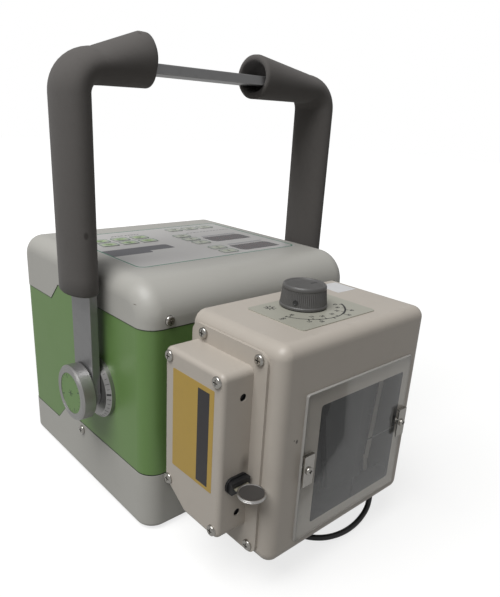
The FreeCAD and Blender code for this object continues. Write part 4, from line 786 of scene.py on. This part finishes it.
# The distance tape: a moulded black mouth, a printed steel blade on its spool, and a round pull tab
# of pressed metal with a rolled rim and a dark dished face.
mouth_black = finish("mouth_black", (0.012, 0.012, 0.013), 0.42, drift=0.3, soil=0.1, grain=1300.0,
                     grain_depth=0.15)
dress(mouth_black, "tape_mouth")
tape_steel = finish("tape_steel", (0.5, 0.47, 0.36), 0.3, metallic=0.5, soil=0.1)
dress(tape_steel, "tape_blade", "tape_spool")
tab_metal = finish("tab_metal", (0.52, 0.51, 0.5), 0.28, metallic=1.0, soil=0.15, wear=0.4,
                   wear_colour=(0.75, 0.75, 0.74))
tab_face = finish("tab_face", (0.045, 0.042, 0.04), 0.45, drift=0.2, drift_scale=60.0, soil=0.15,
                  grain=1500.0, grain_depth=0.12)
tab_x, tab_y = -94.35, -203.4
rim_profile = [(0, 88.85), (7.6, 88.85), (8.0, 88.8), (8.9, 88.85), (9.5, 89.3), (9.55, 89.75),
               (9.25, 89.95), (9.25, 90.1), (9.6, 90.25), (9.65, 90.7), (9.3, 91.15), (8.9, 91.2),
               (8.5, 91.05), (8.35, 90.75)]
dish_profile = [(8.35, 90.75), (7.9, 90.66), (4.0, 90.6), (0, 90.6)]
tab, dish = [spin_round([(tab_x + r, tab_y, z) for r, z in profile], 64, (0, 0, 1), (tab_x, tab_y, 0))
             for profile in (rim_profile, dish_profile)]
add_part(tab, dish, Matrix.Identity(4), 1)
outward(tab)
tab_piece = finish_piece("tape_pull_tab", tab, [tab_metal, tab_face], "tape")
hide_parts("tape_tab")
tape_marks = bmesh.new()
for number in range(1, 22):
    length, inwards = (2.6, 3.2) if number % 5 else (5.0, 2.0)
    lay(tape_marks, rounded_plate(length, 0.3, 0.02), (tab_x - inwards, -194.2 + number * 1.72, 90.3))
finish_piece("tape_marks", tape_marks, [engraved_black], "tape")


# The field window: a clear acrylic plate with polished bevelled edges, held off the collimator's
# front by its clips, with two fine crossed lines on its back that mark the beam's middle.
clear_acrylic = bpy.data.materials.new("clear_acrylic")
clear_acrylic.use_nodes = True
acrylic_tree = clear_acrylic.node_tree
acrylic_shader = acrylic_tree.nodes["Principled BSDF"]
acrylic_shader.inputs["Base Color"].default_value = (0.95, 0.96, 0.95, 1.0)
acrylic_shader.inputs["Transmission Weight"].default_value = 1.0
acrylic_shader.inputs["IOR"].default_value = 1.49
acrylic_shader.inputs["Specular IOR Level"].default_value = 0.3
acrylic_polish = use_group(acrylic_tree, gloss_drift, Roughness=0.03, Spread=0.04)
acrylic_tree.links.new(acrylic_polish, acrylic_shader.inputs["Roughness"])
acrylic_path = acrylic_tree.nodes.new("ShaderNodeLightPath")
lit_through = add_math(acrylic_tree, "MAXIMUM", acrylic_path.outputs["Is Shadow Ray"],
                       acrylic_path.outputs["Is Diffuse Ray"])
acrylic_tree.links.new(add_math(acrylic_tree, "SUBTRACT", 1.0, lit_through), acrylic_shader.inputs["Alpha"])
# The plate's edge faces are an opaque pale grey with a real polish: a painted highlight for the bright edges
# of the clear acrylic.
polished_edge_painted_highlight = finish("polished_edge_painted_highlight", (0.42, 0.41, 0.39), 0.15, drift_scale=40.0, soil=0.05, gloss=0.1,
                       grain=1200.0, grain_depth=0.05)
window = rounded_plate(117.0, 114.5, 1.85, 1.6)
front_rim = [edge for edge in window.edges
             if min(vert.co.z for vert in edge.verts) > 1.8 * MM and len(edge.link_faces) == 2
             and edge.calc_face_angle() > 1.0]
bmesh.ops.bevel(window, geom=front_rim, offset=0.55 * MM, offset_type="OFFSET", affect="EDGES", segments=2,
                profile=0.5, material=-1)
window_shape = bmesh.new()
lay(window_shape, window, (-0.5, -211.14, 96.1), 0, "-y")
for face in window_shape.faces:
    if abs(face.normal.y) < 0.98:
        face.material_index = 1
window_piece = finish_piece("field_window_plate", window_shape, [clear_acrylic, polished_edge_painted_highlight],
                            "generator")
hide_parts("window_plate")
cross_ink = finish("cross_ink", (0.012, 0.012, 0.014), 0.5)
beam_centre = (3.5, -211.05, 94.3)
field_cross = bmesh.new()
lay(field_cross, rounded_plate(1.1, 92.0, 0.05), beam_centre, 0, "-y")
lay(field_cross, rounded_plate(92.0, 1.1, 0.04), beam_centre, 0, "-y")
finish_piece("field_cross_lines", field_cross, [cross_ink], "generator")
dress(nickel, "window_clips")


# The scale plate beside the field knob: a pale anodised plate, printed with a curved scale of field
# sizes with their numbers, and the sign of a lamp. A bare white sticker is beyond it.
scale_metal = finish("scale_metal", (0.41, 0.405, 0.345), 0.4, metallic=0.15, drift=0.06, grain=2200.0)
dress(scale_metal, "scale_plate")
knob_x, knob_y = -10.2, -158.3
scale_top = 189.7
scale_ink = 0.03
dial_place = Vector((knob_x, knob_y, scale_top))


def arc_ribbon(inner, outer, start, sweep, thickness):
    """A flat curved strip round the origin, in millimetres and degrees."""
    strip = bmesh.new()
    first = math.radians(start)
    ends = [strip.verts.new((radius * MM * math.cos(first), radius * MM * math.sin(first), 0))
            for radius in (inner, outer)]
    edge = strip.edges.new(ends)
    bmesh.ops.spin(strip, geom=ends + [edge], cent=(0, 0, 0), axis=(0, 0, 1), angle=math.radians(sweep),
                   steps=32)
    return thicken(strip, thickness)


def number_part(words, size):
    """Numbers as a thin mesh round their own centre."""
    letters = bpy.data.curves.new("number", "FONT")
    letters.body = words
    letters.size = size * MM
    letters.extrude = scale_ink / 2 * MM
    letters.offset = 0.12 * MM
    letters.resolution_u = 2
    letters.align_x = "CENTER"
    letters.align_y = "CENTER"
    holder = bpy.data.objects.new("number", letters)
    scene.collection.objects.link(holder)
    bpy.context.view_layer.update()
    flat = bpy.data.meshes.new_from_object(holder)
    part = bmesh.new()
    part.from_mesh(flat)
    bpy.data.objects.remove(holder)
    bpy.data.meshes.remove(flat)
    bmesh.ops.translate(part, verts=part.verts, vec=(0, 0, scale_ink / 2 * MM))
    bmesh.ops.remove_doubles(part, verts=part.verts, dist=1e-7)
    return part


def way_at(angle):
    """The level direction at an angle in degrees."""
    return Vector((math.cos(math.radians(angle)), math.sin(math.radians(angle)), 0))


scale_print = bmesh.new()
lay(scale_print, arc_ribbon(30.1, 31.0, -159.4, 88.0, scale_ink), dial_place)
lay(scale_print, arc_ribbon(29.9, 31.3, -71.4, 46.0, scale_ink), dial_place)
number_radii = {0: 36.5, 1: 35.2, -1: 25.2}
scale_marks = [(-159.4, 0, "100"), (-154.8, -1, "40"), (-130.0, 1, "15"), (-123.5, -1, "13"),
               (-115.9, 1, "18"), (-105.1, -1, "24"), (-94.0, 1, ""), (-83.1, -1, "30"), (-70.4, 1, "35"),
               (-62.0, -1, "35"), (-51.6, 1, "40"), (-44.3, -1, "40"), (-27.9, -1, "43")]
for angle, side, words in scale_marks:
    tick_place = dial_place + way_at(angle) * (30.55 + 0.9 * side)
    lay(scale_print, rounded_plate(2.8, 0.8, scale_ink), tick_place, turn=angle)
    if words:
        lay(scale_print, number_part(words, 3.8), dial_place + way_at(angle) * number_radii[side])
lamp_place = Vector((-35.0, -149.2, scale_top))
lay(scale_print, arc_ribbon(1.4, 2.2, 0.0, 359.9, scale_ink), lamp_place)
for ray in range(8):
    ray_angle = ray * 45.0
    lay(scale_print, rounded_plate(2.4, 0.8, scale_ink), lamp_place + way_at(ray_angle) * 3.4, turn=ray_angle)
finish_piece("scale_print", scale_print, [engraved_black], "generator")
sticker_white = finish("sticker_white", (0.66, 0.66, 0.67), 0.4, drift=0.05, soil=0.08, grain=2200.0,
                       grain_depth=0.05)
sticker = bmesh.new()
lay(sticker, rounded_plate(21.5, 22.5, 0.08, 0.6), (51.0, -139.6, 189.1), turn=-2.0)
finish_piece("plain_sticker", sticker, [sticker_white], "generator")


# The field knob: a moulded grey knob with a finely ribbed skirt on a smooth foot, a round rim over a
# shallow dished face with a pointer line, and a set screw low in the skirt.
field_knob_grey = finish("field_knob_grey", (0.1, 0.098, 0.096), 0.42, drift=0.08, soil=0.08,
                         soil_colour=(0.16, 0.15, 0.14), grain=1600.0, grain_depth=0.08, wear=0.25,
                         wear_colour=(0.2, 0.2, 0.2))
knob_profile = [(3.4, 190.2), (16.8, 190.2), (17.5, 190.6), (17.5, 191.9), (17.2, 192.3), (17.15, 192.5),
                (16.9, 194.9), (16.65, 197.3), (16.4, 199.7), (16.15, 202.1), (16.0, 203.5), (15.95, 203.7),
                (16.05, 204.1), (15.95, 205.4), (15.5, 206.2), (14.9, 206.65), (14.2, 206.7), (13.6, 206.5),
                (13.3, 206.1), (12.9, 205.85), (8.0, 205.65), (0, 205.6)]
skirt_steps = 144
skirt_foot, skirt_head, rib_depth = 192.4 * MM, 203.6 * MM, 0.5 * MM
field_knob = spin_round([(knob_x + r, knob_y, z) for r, z in knob_profile], skirt_steps, (0, 0, 1),
                        (knob_x, knob_y, 0))
for vert in field_knob.verts:
    offset = Vector((vert.co.x - knob_x * MM, vert.co.y - knob_y * MM, 0))
    step = round(math.atan2(offset.y, offset.x) / math.tau * skirt_steps)
    if skirt_foot < vert.co.z < skirt_head and step % 2:
        vert.co -= offset.normalized() * rib_depth
screw_way = (way_at(-157.9) + Vector((0, 0, 0.1))).normalized()
screw_profile = [(0, 0, 0.05), (1.2, 0, 0.05), (1.5, 0, 0.3), (1.75, 0, 0.3), (1.75, 0, -1.4), (0, 0, -1.4)]
screw_turn = Vector((0, 0, 1)).rotation_difference(screw_way).to_matrix().to_4x4()
screw_turn.translation = Vector((knob_x, knob_y, 194.4)) * MM + screw_way * 16.95 * MM
add_part(field_knob, spin_round(screw_profile, 24), screw_turn, 1)
lay(field_knob, rounded_plate(7.4, 0.7, 0.2, 0.3), (knob_x + 9.3, knob_y - 1.2, 205.62), 1, turn=-8.0)
knob_piece = finish_piece("ribbed_field_knob", field_knob, [field_knob_grey, engraved_black], "field_dial",
                          30)
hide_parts("field_knob")


# Inside the collimator: lead shutters on their guides, a thin mirror across the beam and the small
# halogen lamp that lights it. The shutters and the mirror are painted near black and the lamp's glass
# darker grey: painted shade for the dark inside the box.
shutter_lead = finish("shutter_lead", (0.028, 0.028, 0.032), 0.6, drift=0.2, soil=0.1)
dress(shutter_lead, "shutter_left", "shutter_right", "shutter_upper", "shutter_lower")
mirror_painted_shade = finish("mirror_painted_shade", (0.035, 0.035, 0.04), 0.12, metallic=1.0, drift=0.05, soil=0.02,
                      gloss=0.03, grain_depth=0.005)
dress(mirror_painted_shade, "light_mirror")
lamp_glass = finish("lamp_glass", (0.3, 0.3, 0.28), 0.15, drift=0.05, soil=0.02)
dress(lamp_glass, "field_lamp")


# Inside the case: a pressed steel tank round the glass tube, and the two fibreglass boards that
# carry the inverter and the keys' switches.
tank_metal = finish("tank_metal", (0.14, 0.14, 0.14), 0.5, metallic=0.6, drift=0.12, soil=0.15)
dress(tank_metal, "xray_tank")
tube_glass = finish("tube_glass", (0.5, 0.52, 0.5), 0.15, drift=0.05)
dress(tube_glass, "xray_tube")
board_green = finish("board_green", (0.03, 0.12, 0.05), 0.4, drift=0.2, soil=0.1)
dress(board_green, "control_board", "inverter_board")


# The rear connections: a moulded black mains inlet with brass contact sleeves in a plated collar, its
# rocker switch marked for on and off, and the round hand-switch socket.
inlet_black = finish("inlet_black", (0.022, 0.022, 0.023), 0.42, drift=0.25, soil=0.1, grain=1300.0,
                     wear=0.2, wear_colour=(0.08, 0.08, 0.08))
dress(inlet_black, "mains_inlet", "hand_switch_socket")
rocker_black = finish("rocker_black", (0.03, 0.03, 0.03), 0.3, drift=0.2, soil=0.08)
dress(rocker_black, "power_rocker")
contact_brass = finish("contact_brass", (0.5, 0.36, 0.14), 0.3, metallic=1.0, drift=0.15)
contacts = bmesh.new()
collar_profile = [(11.7, 118.6, 0), (11.7, 119.5, 0), (12.1, 119.9, 0), (13.0, 119.9, 0), (13.4, 119.5, 0),
                  (13.4, 118.6, 0), (11.7, 118.6, 0)]
add_part(contacts, spin_round(collar_profile, 56, (0, 1, 0)), Matrix.Translation((-0.052, 0, 0.075)), 1)
for centre_x, centre_z, circle, floor_y, tube, turns in ((-52.0, 75.0, 6.0, 100.6, 1.5, (90, 210, 330)),
                                                         (52.0, 88.0, 3.5, 105.6, 0.72, (30, 150, 270))):
    bore, buried, mouth = tube * 0.62, floor_y - 1.8, floor_y + 0.25
    for turn in turns:
        sleeve = spin_round([(bore, buried, 0), (bore, mouth, 0), (tube, mouth, 0), (tube, buried, 0),
                             (bore, buried, 0)], 20, (0, 1, 0))
        sleeve_x = centre_x + circle * math.cos(math.radians(turn))
        sleeve_z = centre_z + circle * math.sin(math.radians(turn))
        add_part(contacts, sleeve, Matrix.Translation((sleeve_x * MM, 0, sleeve_z * MM)))
finish_piece("socket_contacts", contacts, [contact_brass, nickel], "generator")
rocker_ink = finish("rocker_ink", (0.7, 0.7, 0.68), 0.4, drift=0.05, soil=0.1)
rocker_marks = bmesh.new()
rocker_rest = Matrix.Rotation(math.radians(-10.0), 4, "X")
rocker_frame = Matrix.Translation(Vector((-52.0, 113.6, 102.5)) * MM) @ rocker_rest
for half, mark in ((1, rounded_plate(0.6, 3.0, 0.05)), (-1, arc_ribbon(1.1, 1.6, 0.0, 359.9, 0.05))):
    lean = Matrix.Rotation(math.radians(half * 21.04), 4, "X")
    mark_place = Matrix.Translation(Vector((0, 6.25, half * 3.25)) * MM)
    add_part(rocker_marks, mark, rocker_frame @ mark_place @ lean @ facing("+y", (0, 0, 0)))
finish_piece("rocker_marks", rocker_marks, [rocker_ink], "rocker")
